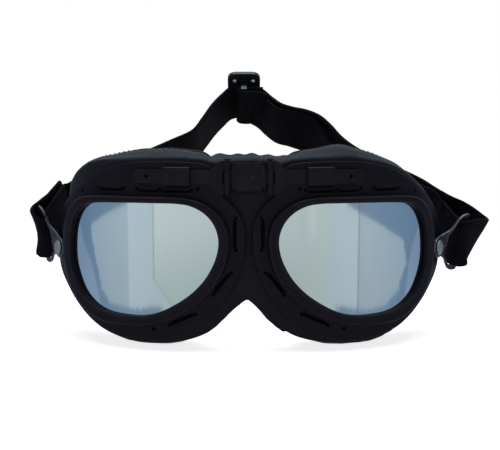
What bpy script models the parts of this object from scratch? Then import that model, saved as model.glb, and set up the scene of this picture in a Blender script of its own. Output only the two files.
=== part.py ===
"""Motorcycle goggles, vintage pilot pattern: two stamped vent frames hinged at the nose,
mirror lenses, padded vinyl mask, swivelling strap clips and an elastic strap with a slider.
Metres, +Z up, the goggles look along -Y, the wearer's left is +X.
The origin is on the front face of the bridge plate, between the two hinges.

Dimensions are in millimetres and degrees. Each frame is drawn in face coordinates:
run goes outward from the nose along the curved face, z up from the lens centre,
out is the height in front of the face. A "place" function maps the local x, y, z
of a piece (millimetres) to metres."""
import math

import bmesh
import bpy
from mathutils import Vector

for old in list(bpy.data.objects):
    bpy.data.objects.remove(old, do_unlink=True)

MM = 0.001
SIDES = {"right": -1, "left": 1}      # sign of X for each side of the wearer
UP = Vector((0, 0, 1))

# ---- curved face of the frames
LENS_Z = -38.5            # height of the lens centre below the bridge plate centre
FACE_Y = 0.2              # front face of the frame plate at the middle of the nose
FLAT_TILT = 5.0           # tilt of the straight nose part of each frame
FLAT_LEN = 22.0           # length of that straight part
WRAP_R = 105.0            # radius of the curved face
WRAP_END = 90.0           # where the tighter temple curve begins
TEMPLE_R = 60.0
SEGMENTS = 48             # steps around a frame

# ---- frame, lens and mask
PLATE_T = 1.2
RIM_H = 4.5               # height of the lens bezel above the plate
RIM_FOOT = 0.15           # underside of the bezel
RIM_LEDGE = 1.5           # height of the bezel's inner ledge
LENS_T = 1.6
LENS_FRONT = 1.2          # height of the lens edge
LENS_CROWN = 0.9          # how far the lens middle stands above its edge
MASK_DEPTH = 18.0
MASK_WAIST = -10.0        # level of the middle of the mask wall
MASK_WALL = 2.6           # wall thickness at the rear
FLANGE = (-2.8, -4.4)     # front and rear levels of the mask flange
PAD_H = 6.0

# ---- hinges and bridge plate
HINGE_X = 10.0            # the two hinge axes stand at +-HINGE_X
HINGE_Y = -0.4
BARREL_R = 1.7
BARREL_SIDES = 24
PIN_R = 0.8
PIN_HOLE_R = 1.0
HOLE_REACH = 12           # half length of the pin hole cutter
KNUCKLE_TOP = 8.0         # half height of the hinge
KNUCKLE_MID = 3.0         # half height of the bridge plate's own knuckle
KNUCKLE_GAP = 0.3
BRIDGE_HALF_W = 7.8
BRIDGE_HALF_H = 6.75
BRIDGE_T = 1.2
BRIDGE_RIVET = (1.9, 0.6)  # x and z of the small rivet through the bridge plate
SMALL_SIDES = 16          # sides of the small rivets, pins and holes

# ---- sliding strip of the hinge leaf and its keeper
STRIP_Z = 38.8            # middle of the strip, above the lens centre
STRIP_HALF = 3.2
STRIP_END = 55.5
SEAT_RUN = 33.5           # the strip slides in the keeper here

# ---- strap rivet and clip
RIVET_RUN = 108.5
RIVET_Z = 0.0
SWIVEL_REST = {"right": 19.0, "left": 7.0}        # each clip points this far up at rest
CLIP_BEND = {"right": 13.0, "left": 31.0}         # and is bent outward this far past its eye
CLIP_REACH = 2.5                                  # extra sheet between the eye and the slot
CLIP_LEAN = {"right": (0.07, 0.32, 0.945), "left": (0.16, 0.30, 0.94)}   # outward, forward, up
BEND_START = 4.0          # distance from the rivet where bend and twist begin
BEND_LENGTH = 5.0
TWIST_LENGTH = 8.0
CLIP_SHEET = (1.15, 2.35)  # rear and front of the sheet above the plate

# ---- strap
WEB_W = 25.4              # elastic webbing
WEB_T = 1.9
LAYER_GAP = 0.45          # between the two layers of webbing
LOOP_RAISE = 0.3
CLIP_BAR = 14.0           # the strap loops turn in the clip's plane about this distance
SPLINE_STEPS = 2          # steps between strap stations
STRAP_Y, STRAP_Z = 60.0, -31.0    # foot of the sloping plane the strap follows to the rear
DIAGONAL = 0.7071                 # rise and setback per millimetre up that plane

# ---- closed outlines on the flattened face: (run, z)
OPEN = [  # lens opening
    (94.2, 3.5), (92.6, 12.5), (88.6, 19.6), (82.4, 24.0), (74.0, 25.4), (57.5, 26.0),
    (43.0, 26.2), (33.5, 26.1), (26.8, 25.0), (20.6, 21.6), (16.2, 16.4), (14.1, 9.8),
    (14.7, 2.8), (17.4, -4.2), (21.9, -11.2), (28.4, -17.6), (36.9, -23.2), (44.0, -26.4),
    (51.0, -28.0), (59.5, -28.3), (69.8, -27.6), (78.4, -24.9), (86.2, -19.4), (91.0, -12.2),
    (93.8, -4.4)]
RIM = [  # outer edge of the bezel
    (100.6, 4.0), (99.0, 14.0), (94.2, 22.2), (87.0, 27.4), (76.5, 29.0), (58.0, 29.4),
    (43.0, 29.6), (32.5, 29.4), (24.2, 28.0), (16.2, 23.8), (10.8, 17.6), (8.9, 9.8),
    (9.4, 1.8), (12.0, -6.2), (16.8, -14.2), (23.8, -21.2), (33.0, -27.4), (41.6, -31.0),
    (50.2, -32.7), (59.6, -33.4), (71.2, -33.0), (81.6, -29.8), (91.2, -22.4), (97.0, -14.0),
    (100.2, -4.8)]
PLATE = [  # outer edge of the stamped plate
    (117.4, 0.0), (116.8, 6.5), (114.0, 13.5), (108.0, 20.6), (101.0, 26.4), (93.0, 31.6),
    (84.0, 36.6), (75.0, 40.8), (66.0, 43.6), (56.0, 45.2), (45.0, 45.9), (32.4, 45.8),
    (20.6, 44.6), (15.4, 41.0), (14.0, 35.4), (12.6, 30.2), (8.4, 26.0), (5.0, 21.8),
    (2.6, 16.0), (1.9, 8.0), (3.2, -1.2), (6.5, -10.5), (11.5, -19.0), (18.9, -27.4),
    (26.5, -33.4), (35.0, -37.8), (45.0, -40.3), (56.0, -41.0), (67.0, -39.7), (77.5, -36.5),
    (87.0, -31.5), (96.0, -25.0), (104.0, -18.5), (112.0, -12.0), (116.0, -6.5)]
MASK_FRONT = [
    (118.2, 0.0), (117.6, 9.0), (114.6, 17.6), (108.6, 24.6), (100.0, 31.4), (91.0, 37.0),
    (80.0, 42.2), (68.0, 45.6), (55.0, 47.4), (41.0, 48.0), (27.0, 47.8), (17.0, 46.0),
    (12.6, 40.6), (11.6, 32.0), (11.5, 20.0), (11.5, 9.0), (11.5, -3.0), (11.6, -14.0),
    (12.0, -23.0), (14.6, -29.6), (20.0, -34.4), (27.5, -38.2), (36.0, -40.8), (45.0, -42.0),
    (56.0, -42.2), (67.0, -40.6), (78.0, -37.0), (88.0, -31.8), (97.6, -25.2), (106.6, -18.0),
    (114.0, -10.6), (117.4, -5.0)]
MASK_REAR = [
    (118.6, 0.0), (118.4, 10.0), (116.2, 19.4), (110.8, 27.4), (102.0, 35.4), (92.0, 41.8),
    (81.0, 46.0), (69.0, 49.3), (56.0, 50.7), (42.0, 50.9), (29.0, 50.2), (21.0, 47.9),
    (18.6, 42.0), (18.4, 32.0), (18.4, 20.0), (18.4, 9.0), (18.5, -3.0), (18.8, -14.0),
    (19.6, -24.0), (22.0, -31.6), (27.0, -36.8), (34.0, -40.4), (43.0, -42.6), (53.0, -43.2),
    (64.0, -41.8), (75.0, -38.6), (85.0, -34.0), (95.0, -27.6), (104.6, -20.2), (112.6, -12.4),
    (117.4, -5.6)]
CENTRE = (55.0, 0.0)      # every outline is sampled along rays from here
VENTS = [  # run, z, length, half width, slope
    (69.5, 33.0, 15.0, 1.0, 0.0), (48.4, 32.9, 11.5, 1.0, 0.0), (34.2, 32.8, 14.0, 0.9, 0.0),
    (5.8, 11.8, 14.5, 1.0, 90.0), (12.3, -12.0, 13.0, 1.0, -51.0),
    (31.6, -29.8, 13.5, 1.0, -24.0), (24.0, 33.0, 1.8, 0.9, 0.0),
    (88.6, 30.2, 2.0, 1.0, 0.0), (46.4, -34.6, 1.8, 0.9, 0.0)]


# ---- interpolation
def ramp(value, start, length):
    return min(max((value - start) / length, 0.0), 1.0)


def ease(fraction):
    return fraction * fraction * (3 - 2 * fraction)


def blend(before, start, end, after, t):
    """Catmull-Rom value between start and end."""
    return 0.5 * (2 * start + (end - before) * t
                  + (2 * before - 5 * start + 4 * end - after) * t * t
                  + (3 * start - before - 3 * end + after) * t ** 3)


def smooth_loop(points, steps=10):
    count, loop = len(points), []
    for i in range(count):
        near = [Vector(points[(i + k) % count]) for k in (-1, 0, 1, 2)]
        loop += [blend(*near, j / steps) for j in range(steps)]
    return loop


def smooth_path(points):
    last, path = len(points) - 1, []
    for i in range(last):
        near = [points[min(max(i + k, 0), last)] for k in (-1, 0, 1, 2)]
        for j in range(SPLINE_STEPS):
            path.append([blend(*values, j / SPLINE_STEPS) for values in zip(*near)])
    path.append(list(points[-1]))
    return path


# ---- face coordinates
def turn(run):
    """Angle of the face away from the X axis."""
    tilt = math.radians(FLAT_TILT)
    if run <= FLAT_LEN:
        return tilt
    if run <= WRAP_END:
        return tilt + (run - FLAT_LEN) / WRAP_R
    return tilt + (WRAP_END - FLAT_LEN) / WRAP_R + (run - WRAP_END) / TEMPLE_R


def plan(run):
    """The face seen from above: distance outward and distance back."""
    tilt = math.radians(FLAT_TILT)
    flat = min(run, FLAT_LEN)
    x, y = flat * math.cos(tilt), flat * math.sin(tilt)
    if run > FLAT_LEN:
        wrap = turn(min(run, WRAP_END))
        x += WRAP_R * (math.sin(wrap) - math.sin(tilt))
        y += WRAP_R * (math.cos(tilt) - math.cos(wrap))
        if run > WRAP_END:
            temple = turn(run)
            x += TEMPLE_R * (math.sin(temple) - math.sin(wrap))
            y += TEMPLE_R * (math.cos(wrap) - math.cos(temple))
    return x, y


def on_face(run, z, out, side):
    x, y = plan(run)
    angle = turn(run)
    return Vector((side * (x + out * math.sin(angle)), FACE_Y + y - out * math.cos(angle),
                   LENS_Z + z)) * MM


def reach(loop, angle):
    """Distance from CENTRE to the outermost crossing of an outline in the given direction."""
    ray_x, ray_y = math.cos(angle), math.sin(angle)
    best = 0.0
    for i, start in enumerate(loop):
        end = loop[(i + 1) % len(loop)]
        start_x, start_y = start.x - CENTRE[0], start.y - CENTRE[1]
        end_x, end_y = end.x - CENTRE[0], end.y - CENTRE[1]
        start_off = ray_x * start_y - ray_y * start_x
        end_off = ray_x * end_y - ray_y * end_x
        if (start_off > 0) == (end_off > 0):
            continue
        t = start_off / (start_off - end_off)
        distance = (ray_x * (start_x + (end_x - start_x) * t)
                    + ray_y * (start_y + (end_y - start_y) * t))
        best = max(best, distance)
    return best


def station_angles(loop, count):
    """Ray directions to points spaced evenly along the loop."""
    lengths = [(loop[(i + 1) % len(loop)] - point).length for i, point in enumerate(loop)]
    total, angles, passed, i = sum(lengths), [], 0.0, 0
    for k in range(count):
        want = total * k / count
        while passed + lengths[i] < want:
            passed += lengths[i]
            i += 1
        point = loop[i].lerp(loop[(i + 1) % len(loop)], (want - passed) / lengths[i])
        angles.append(math.atan2(point.y - CENTRE[1], point.x - CENTRE[0]))
    return angles


ANGLES = station_angles(smooth_loop(RIM), SEGMENTS)


def radii(points):
    loop = smooth_loop(points)
    return [reach(loop, angle) for angle in ANGLES]


OPEN_R, RIM_R, PLATE_R = radii(OPEN), radii(RIM), radii(PLATE)
FRONT_R, REAR_R = radii(MASK_FRONT), radii(MASK_REAR)


def on_ray(i, radius, out, side):
    angle = ANGLES[i]
    return on_face(CENTRE[0] + radius * math.cos(angle), CENTRE[1] + radius * math.sin(angle),
                   out, side)


# ---- place functions
def face_place(run, z, side, slope=0.0):
    """Local x and y lie in the face, turned by slope; local z points out of it."""
    cos, sin = math.cos(math.radians(slope)), math.sin(math.radians(slope))
    return lambda x, y, out: on_face(run + x * cos - y * sin, z + x * sin + y * cos, out, side)


def upright(left, back):
    """Local axes parallel to the world's, moved along X and Y."""
    return lambda x, y, z: Vector((left + x, back + y, z)) * MM


def facing(left, up):
    """Local x and y along world X and Z, local z toward the rear."""
    return lambda x, y, z: Vector((left + x, z, up + y)) * MM


def about(origin, place):
    return lambda x, y, z: place(x, y, z) - origin


# ---- flat outlines
def rectangle(x_start, x_end, y_start, y_end):
    return [(x_start, y_start), (x_end, y_start), (x_end, y_end), (x_start, y_end)]


def circle(radius, sides=20):
    angles = [2 * math.pi * i / sides for i in range(sides)]
    return [(radius * math.cos(angle), radius * math.sin(angle)) for angle in angles]


def mirrored(points):
    """Half an outline followed by its reflection in the x axis."""
    return points + [(x, -y) for x, y in reversed(points)]


def slot(length, half, steps=4):
    points = []
    straight = max(length / 2 - half, 0.0)
    for end, start in ((1, -math.pi / 2), (-1, math.pi / 2)):
        for i in range(steps + 1):
            angle = start + math.pi * i / steps
            points.append((end * straight + half * math.cos(angle), half * math.sin(angle)))
    # a round hole drops the points where its two half circles meet
    return points if straight > 1e-6 else points[:steps] + points[steps + 1:-1]


# ---- solids, returned as bmeshes
def skin(mesh, row, following):
    """Faces between two closed rows; either may be a single vertex."""
    count = max(len(row), len(following))
    for i in range(count):
        j = (i + 1) % count
        corners = [row[i % len(row)], following[i % len(following)],
                   following[j % len(following)], row[j % len(row)]]
        mesh.faces.new(list(dict.fromkeys(corners)))


def loft(stations, closed=False):
    mesh = bmesh.new()
    grid = [[mesh.verts.new(point) for point in station] for station in stations]
    for row, following in zip(grid, grid[1:] + (grid[:1] if closed else [])):
        skin(mesh, row, following)
    return mesh, grid


def ring(stations):
    return loft(stations, closed=True)[0]


def bar(stations):
    mesh, grid = loft(stations)
    mesh.faces.new(grid[0])
    mesh.faces.new(list(reversed(grid[-1])))
    return mesh


def prism(outline, low, high, place):
    return bar([[place(x, y, z) for x, y in outline] for z in (low, high)])


def disc(radius, low, high, place, sides=20):
    return prism(circle(radius, sides), low, high, place)


def revolve(profile, place, sides=20):
    """Profile of (radius, z) from axis to axis, spun about local z."""
    return loft([[place(x, y, z) for x, y in circle(radius, sides)] if radius else
                 [place(0, 0, z)] for radius, z in profile])[0]


# ---- materials
def material(name, colour, roughness, metallic=0.0):
    surface = bpy.data.materials.new(name)
    surface.use_nodes = True
    inputs = surface.node_tree.nodes["Principled BSDF"].inputs
    inputs["Base Color"].default_value = (*colour, 1.0)
    inputs["Roughness"].default_value = roughness
    inputs["Metallic"].default_value = metallic
    surface.diffuse_color = (*colour, 1.0)
    return surface


PAINT = material("black_frame_paint", colour=(0.018, 0.016, 0.020), roughness=0.42)
MIRROR = material("mirror_lens_coating", colour=(0.62, 0.70, 0.74), roughness=0.06, metallic=1.0)
RUBBER = material("lens_seal_rubber", colour=(0.015, 0.015, 0.015), roughness=0.75)
STEEL = material("blackened_steel", colour=(0.05, 0.05, 0.055), roughness=0.38, metallic=0.9)
RIVET = material("grey_rivet_steel", colour=(0.30, 0.31, 0.33), roughness=0.35, metallic=1.0)
VINYL = material("mask_vinyl", colour=(0.030, 0.032, 0.038), roughness=0.55)
LINING = material("pad_lining", colour=(0.025, 0.024, 0.027), roughness=0.95)
ELASTIC = material("elastic_webbing", colour=(0.016, 0.015, 0.018), roughness=0.85)
GLOSS = material("gloss_black_slider", colour=(0.010, 0.014, 0.012), roughness=0.12)


# ---- objects
def link(name, mesh, location):
    data = bpy.data.meshes.new(name)
    mesh.to_mesh(data)
    mesh.free()
    piece = bpy.data.objects.new(name, data)
    piece.location = location
    bpy.context.scene.collection.objects.link(piece)
    return piece


def add(name, mesh, origin, surface):
    """World-coordinate bmesh (metres) into an object whose origin is the given point."""
    bmesh.ops.remove_doubles(mesh, verts=mesh.verts, dist=1e-7)
    bmesh.ops.recalc_face_normals(mesh, faces=mesh.faces)
    bmesh.ops.translate(mesh, verts=mesh.verts, vec=-Vector(origin))
    piece = link(name, mesh, origin)
    piece.data.materials.append(surface)
    return piece


def carve(piece, bodies, operation="DIFFERENCE"):
    """Boolean with bodies given about the piece's own origin, baked into its mesh."""
    tools = []
    for mesh in bodies:
        bmesh.ops.recalc_face_normals(mesh, faces=mesh.faces)
        tool = link("tool", mesh, piece.location)
        cut = piece.modifiers.new("cut", "BOOLEAN")
        cut.operation = operation
        cut.solver = "EXACT"
        cut.object = tool
        tools.append(tool)
    bpy.context.view_layer.update()
    graph = bpy.context.evaluated_depsgraph_get()
    baked = bpy.data.meshes.new_from_object(piece.evaluated_get(graph))
    piece.modifiers.clear()
    piece.data = baked
    baked.name = piece.name
    for tool in tools:
        bpy.data.objects.remove(tool, do_unlink=True)


# ---- frame pieces; their origin is the keeper's place on the face
def seat(side):
    return on_face(SEAT_RUN, STRIP_Z, 0.0, side)


def add_around(name, section, side, surface):
    """Ring around the lens; section(i) lists (radius, out) on ray i."""
    stations = [[on_ray(i, radius, out, side) for radius, out in section(i)]
                for i in range(SEGMENTS)]
    return add(name, ring(stations), seat(side), surface)


def rivet_axes(side):
    """Foot of the strap rivet on the face, direction along the face, direction out of it."""
    foot = on_face(RIVET_RUN, RIVET_Z, 0.0, side)
    out = (on_face(RIVET_RUN, 0, 1.0, side) - on_face(RIVET_RUN, 0, 0.0, side)).normalized()
    along = Vector((side * math.cos(turn(RIVET_RUN)), math.sin(turn(RIVET_RUN)), 0.0))
    return foot, along, out


def rivet_place(side):
    foot, along, out = rivet_axes(side)
    return lambda x, y, z: foot + (along * x + UP * y + out * z) * MM


def frame_plate(side, tag):
    def section(i):
        inner, middle, outer = OPEN_R[i] + 2.1, RIM_R[i], PLATE_R[i]
        across = (inner, middle, (middle + outer) / 2, outer)
        return [(r, 0.0) for r in across] + [(r, -PLATE_T) for r in reversed(across)]

    plate = add_around("frame_plate_" + tag, section, side, PAINT)
    cutters = []
    for run, z, length, half, slope in VENTS:
        place = about(seat(side), face_place(run, z, side, slope))
        cutters.append(prism(slot(length, half), -3.0, 1.5, place))
    cutters.append(disc(2.1, -4.0, 3.0, about(seat(side), rivet_place(side))))
    carve(plate, cutters)


def lens_rim(side, tag):
    """Bezel: an L section that holds the lens down."""
    def section(i):
        inner, outer = OPEN_R[i], RIM_R[i]
        width = outer - inner
        ledge = inner + 1.9
        return [(inner, RIM_LEDGE), (inner + 0.15, RIM_H - 0.9), (inner + 0.3 * width, RIM_H),
                (outer - 0.35 * width, RIM_H - 0.5), (outer - 0.3, RIM_LEDGE),
                (outer, RIM_FOOT), (ledge, RIM_FOOT), (ledge, RIM_LEDGE)]

    add_around("lens_rim_" + tag, section, side, PAINT)


def lens(side, tag):
    """A curved plate with a soft crown."""
    mesh = bmesh.new()
    edges = []
    for level in (LENS_FRONT, LENS_FRONT - LENS_T):
        rows = []
        for part in (1.0, 0.78, 0.52, 0.26):
            out = level + LENS_CROWN * (1 - part * part)
            rows.append([mesh.verts.new(on_ray(i, (OPEN_R[i] + 1.4) * part, out, side))
                         for i in range(SEGMENTS)])
        rows.append([mesh.verts.new(on_face(*CENTRE, level + LENS_CROWN, side))])
        for row, following in zip(rows, rows[1:]):
            skin(mesh, row, following)
        edges.append(rows[0])
    skin(mesh, *edges)
    add("lens_" + tag, mesh, seat(side), MIRROR)


def lens_seal(side, tag):
    add_around("lens_seal_" + tag, lambda i: rectangle(OPEN_R[i] + 0.2, OPEN_R[i] + 1.6,
                                                       -0.55, -1.35), side, RUBBER)


def lens_retainer(side, tag):
    add_around("lens_retainer_" + tag, lambda i: rectangle(OPEN_R[i] + 0.2, OPEN_R[i] + 3.4,
                                                           -1.5, -2.6), side, STEEL)


def mask_shell(side, tag):
    """A flange behind the plate and a wall that runs back to the face."""
    def section(i):
        inner, front, rear = OPEN_R[i] + 0.5, FRONT_R[i], REAR_R[i]
        wall = max(front - 2.2, inner + 0.2)      # inside of the wall at the flange
        near, far = FLANGE
        return [(inner, near), ((inner + front) / 2, near), (front, near),
                (front + (rear - front) * 0.5, MASK_WAIST),
                (rear, -MASK_DEPTH), (rear - MASK_WALL, -MASK_DEPTH),
                (max((wall + rear - MASK_WALL) / 2, inner), MASK_WAIST),
                (wall, far), ((inner + wall) / 2, far), (inner, far)]

    mask = add_around("mask_shell_" + tag, section, side, VINYL)
    carve(mask, [disc(2.4, -7.0, 2.0, about(seat(side), rivet_place(side)))])


def face_pad(side, tag):
    """Eight-sided cushion behind the mask wall."""
    def section(i):
        middle = -MASK_DEPTH - 0.3 - PAD_H / 2
        angles = [2 * math.pi * k / 8 + math.pi / 8 for k in range(8)]
        return [(REAR_R[i] - 4.2 + 3.6 * math.cos(angle),
                 middle + 0.5292 * PAD_H * math.sin(angle)) for angle in angles]

    add_around("face_pad_" + tag, section, side, LINING)


KEEPER_RUNS = (27.4, 31.6, 35.8, 39.9)
KEEPER_PROFILE = [  # z from the middle of the strip, out
    (-4.6, 0.15), (-3.7, 0.15), (-3.7, 2.0), (3.7, 2.0), (3.7, 0.15), (4.6, 0.15),
    (4.6, 2.3), (4.1, 2.8), (-4.1, 2.8), (-4.6, 2.3)]


def bridge_keeper(side, tag):
    """Loop over the sliding strip."""
    stations = [[on_face(run, STRIP_Z + z, out, side) for z, out in KEEPER_PROFILE]
                for run in KEEPER_RUNS]
    add("bridge_keeper_" + tag, bar(stations), seat(side), PAINT)


STRAP_RIVET_PROFILE = [  # radius, out
    (0, 4.3), (1.9, 4.15), (3.3, 3.6), (4.0, 2.75), (1.8, 2.75), (1.8, -4.8), (3.2, -4.8),
    (2.8, -6.0), (0, -6.4)]


def strap_rivet(side, tag):
    add("strap_rivet_" + tag, revolve(STRAP_RIVET_PROFILE, rivet_place(side)),
        rivet_axes(side)[0], RIVET)


def rivet_washer(side, tag):
    """Spacer between the plate and the clip."""
    place = rivet_place(side)
    section = rectangle(2.1, 4.6, 0.25, 0.85)      # radius, out
    stations = [[place(radius * x, radius * y, z) for radius, z in section]
                for x, y in circle(1.0)]
    add("rivet_washer_" + tag, ring(stations), rivet_axes(side)[0], STEEL)


# ---- hinge leaf with its sliding strip
LEAF_START = 12.3
LEAF_TAPER = 6.1          # length over which the leaf narrows and shifts to the strip
LEAF_HALF = KNUCKLE_TOP - 0.1
LEAF_RUNS = [LEAF_START, 14.0, 16.0, 18.4, 22.0, 26.0, 31.0, 36.0, 41.0, 46.0, 51.0, 53.6,
             55.0, STRIP_END]
STRIP_ROUND = 53.0        # where the rounded end of the strip begins
STRIP_EYE = 48.6          # run of the hole in the strip


def leaf_half(run):
    if run > STRIP_ROUND:
        return STRIP_HALF * math.sqrt(max(1 - ((run - STRIP_ROUND) / 2.6) ** 2, 0.05))
    return LEAF_HALF + (STRIP_HALF - LEAF_HALF) * ease(ramp(run, LEAF_START, LEAF_TAPER))


def leaf_middle(run):
    return -LENS_Z + (STRIP_Z + LENS_Z) * ramp(run, LEAF_START, LEAF_TAPER)


def hinge_leaf(side, tag):
    hinge = Vector((side * HINGE_X, HINGE_Y, 0.0)) * MM
    stations = [[on_face(run, leaf_middle(run) + edge * leaf_half(run), out, side)
                 for edge, out in rectangle(-1, 1, 0.35, 1.4)] for run in LEAF_RUNS]
    leaf = add("hinge_leaf_" + tag, bar(stations), hinge, STEEL)
    joins = []
    inner = KNUCKLE_MID + KNUCKLE_GAP
    for end in (1, -1):
        tab = rectangle(*sorted((end * inner, end * (KNUCKLE_TOP - 0.05))), 0.45, 1.3)
        joins.append(bar([[on_face(run, -LENS_Z + z, out, side) - hinge for z, out in tab]
                          for run in (10.7, 12.9)]))
        joins.append(disc(BARREL_R, *sorted((end * inner, end * KNUCKLE_TOP)),
                          upright(0, 0), BARREL_SIDES))
    carve(leaf, joins, "UNION")
    eye_place = about(hinge, face_place(STRIP_EYE, STRIP_Z, side))
    carve(leaf, [disc(PIN_HOLE_R, -HOLE_REACH, HOLE_REACH, upright(0, 0)),
                 disc(1.0, -1.0, 3.0, eye_place, SMALL_SIDES)])


HINGE_PIN_PROFILE = [  # radius, z: domed head and peened foot
    (0, 9.5), (1.0, 9.35), (1.65, 8.75), (1.65, 8.3), (PIN_R, 8.3), (PIN_R, -8.3),
    (1.4, -8.3), (1.2, -8.9), (0, -9.1)]


def hinge_pin(side, tag):
    mesh = revolve(HINGE_PIN_PROFILE, upright(side * HINGE_X, HINGE_Y), SMALL_SIDES)
    add("hinge_pin_" + tag, mesh, Vector((side * HINGE_X, HINGE_Y, 0.0)) * MM, STEEL)


# ---- bridge plate with the two middle knuckles
PANEL_HALF = 6.9
PANEL_CHAMFER = 1.2
WING_START = 6.2          # the wings and tabs start inside the panel
TAB_END = 9.6


def bridge_plate():
    half, low, cut = PANEL_HALF, -BRIDGE_HALF_H, PANEL_CHAMFER
    panel = mirrored([(-half, low + cut), (-half + cut, low), (half - cut, low),
                      (half, low + cut)])
    place = facing(0, 0)
    plate = add("bridge_plate", prism(panel, 0.0, BRIDGE_T, place), (0, 0, 0), STEEL)
    wing_half = BRIDGE_HALF_H - 1.4
    joins = []
    for side in (-1, 1):
        wing = rectangle(WING_START * side, BRIDGE_HALF_W * side, -wing_half, wing_half)
        tab = rectangle(WING_START * side, TAB_END * side, -KNUCKLE_MID, KNUCKLE_MID)
        joins += [prism(wing, 0.3, BRIDGE_T, place), prism(tab, 0.3, BRIDGE_T - 0.1, place),
                  disc(BARREL_R, -KNUCKLE_MID, KNUCKLE_MID,
                       upright(side * HINGE_X, HINGE_Y), BARREL_SIDES)]
    carve(plate, joins, "UNION")
    cuts = [disc(PIN_HOLE_R, -HOLE_REACH, HOLE_REACH, upright(side * HINGE_X, HINGE_Y))
            for side in (-1, 1)]
    cuts.append(disc(0.95, -2, 4, facing(*BRIDGE_RIVET), SMALL_SIDES))
    carve(plate, cuts)


def bridge_rivet():
    profile = [(0, 0.1), (0.75, 0.1), (0.75, 7.2), (0, 7.2)]      # radius, y
    place = facing(*BRIDGE_RIVET)
    add("bridge_rivet", revolve(profile, place, SMALL_SIDES), place(0, 0, 0), RIVET)


# ---- soft middle of the mask over the nose
NOSE_ROWS = [  # z, half width, front y, rear y, rise of the middle
    (10.4, 7.0, 4.6, 17.0, 0), (9.4, 8.2, 3.6, 18.0, 0), (2.0, 8.4, 3.4, 18.4, 0),
    (-10.0, 8.4, 3.4, 18.4, 0), (-24.0, 8.4, 3.4, 18.0, 0), (-38.0, 8.4, 3.6, 17.2, 0),
    (-52.0, 8.4, 4.4, 15.0, 0), (-62.5, 8.0, 5.4, 12.6, 4.5)]


def mask_nose_bridge():
    rows = []
    for z, half, front, rear, rise in NOSE_ROWS:
        corner, bevel = front + 0.6, half - 1.2
        points = [(-half, corner, z), (-bevel, front, z), (0, front, z + rise),
                  (bevel, front, z), (half, corner, z),
                  (half, rear, z), (0, rear, z + rise), (-half, rear, z)]
        rows.append([Vector(point) * MM for point in points])
    nose = add("mask_nose_bridge", bar(rows), (0, 0, 0), VINYL)
    carve(nose, [disc(1.1, -1, 8.0, facing(*BRIDGE_RIVET), SMALL_SIDES)])


# ---- strap clip: local x from the rivet to the strap, y across the strap, z out of the sheet
CLIP_EYE_R = 5.2
CLIP_EDGE = [  # lower half of the outline: x, y
    (3.0, -5.4), (4.6, -6.2), (6.8, -8.5), (8.2, -10.4), (9.6, -12.3), (11.3, -14.1),
    (13.0, -15.1), (15.5, -15.5), (17.4, -15.0), (18.2, -13.6)]
CLIP_WINDOW = [  # lower half of the strap slot: x, y
    (8.1, -6.5), (9.3, -9.3), (10.8, -11.5), (12.2, -13.0), (13.4, -13.7), (15.0, -13.7)]


def clip_place(side, tag):
    """The flat clip swivelled, bent outward and twisted toward the webbing's own lean."""
    foot, along, out = rivet_axes(side)
    swivel, bend = math.radians(SWIVEL_REST[tag]), math.radians(CLIP_BEND[tag])
    forward = along * math.cos(swivel) + UP * math.sin(swivel)
    width_start = -along * math.sin(swivel) + UP * math.cos(swivel)
    lean = CLIP_LEAN[tag]
    width_end = Vector((side * lean[0], -lean[1], lean[2])).normalized()
    bend_radius = BEND_LENGTH / bend

    def place(x, y, z):
        x += CLIP_REACH * ease(ramp(x, BEND_START, BEND_LENGTH))
        twist = ease(ramp(x, BEND_START, TWIST_LENGTH))
        width = width_start.lerp(width_end, twist).normalized()
        angle = bend * ramp(x, BEND_START, BEND_LENGTH)
        heading = forward * math.cos(angle) + out * math.sin(angle)
        past = max(x - BEND_START - BEND_LENGTH, 0.0)
        ahead = min(x, BEND_START) + bend_radius * math.sin(angle) + past * math.cos(bend)
        rise = bend_radius * (1 - math.cos(angle)) + past * math.sin(bend)
        normal = heading.cross(width).normalized()
        if normal.dot(out) < 0:
            normal = -normal
        return foot + (forward * ahead + out * rise + width * y + normal * z) * MM

    return place


def strap_clip(side, tag):
    name = "strap_clip_" + tag
    angles = [math.pi / 2 + math.pi * i / 8 for i in range(9)]
    eye = [(CLIP_EYE_R * math.cos(angle), CLIP_EYE_R * math.sin(angle)) for angle in angles]

    def flat(x, y, z):
        return Vector((x, y, z))

    blank = add(name, prism(eye + mirrored(CLIP_EDGE), *CLIP_SHEET, flat), (0, 0, 0), STEEL)
    carve(blank, [disc(2.2, 0, 4, flat), prism(mirrored(CLIP_WINDOW), 0, 4, flat)])
    mesh = bmesh.new()
    mesh.from_mesh(blank.data)
    bpy.data.objects.remove(blank, do_unlink=True)
    bmesh.ops.triangulate(mesh, faces=mesh.faces)
    # close any small gap the boolean leaves
    gaps = [edge for edge in mesh.edges if len(edge.link_faces) == 1]
    if gaps:
        bmesh.ops.holes_fill(mesh, edges=gaps, sides=8)
    # short edges let the sheet follow the bend
    long_edges = [edge for edge in mesh.edges if edge.calc_length() > 5.0]
    bmesh.ops.subdivide_edges(mesh, edges=long_edges, cuts=2)
    bmesh.ops.triangulate(mesh, faces=mesh.faces)
    bmesh.ops.recalc_face_normals(mesh, faces=mesh.faces)
    place = clip_place(side, tag)
    for vertex in mesh.verts:
        vertex.co = place(*vertex.co)
    add(name, mesh, rivet_axes(side)[0], STEEL)


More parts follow.
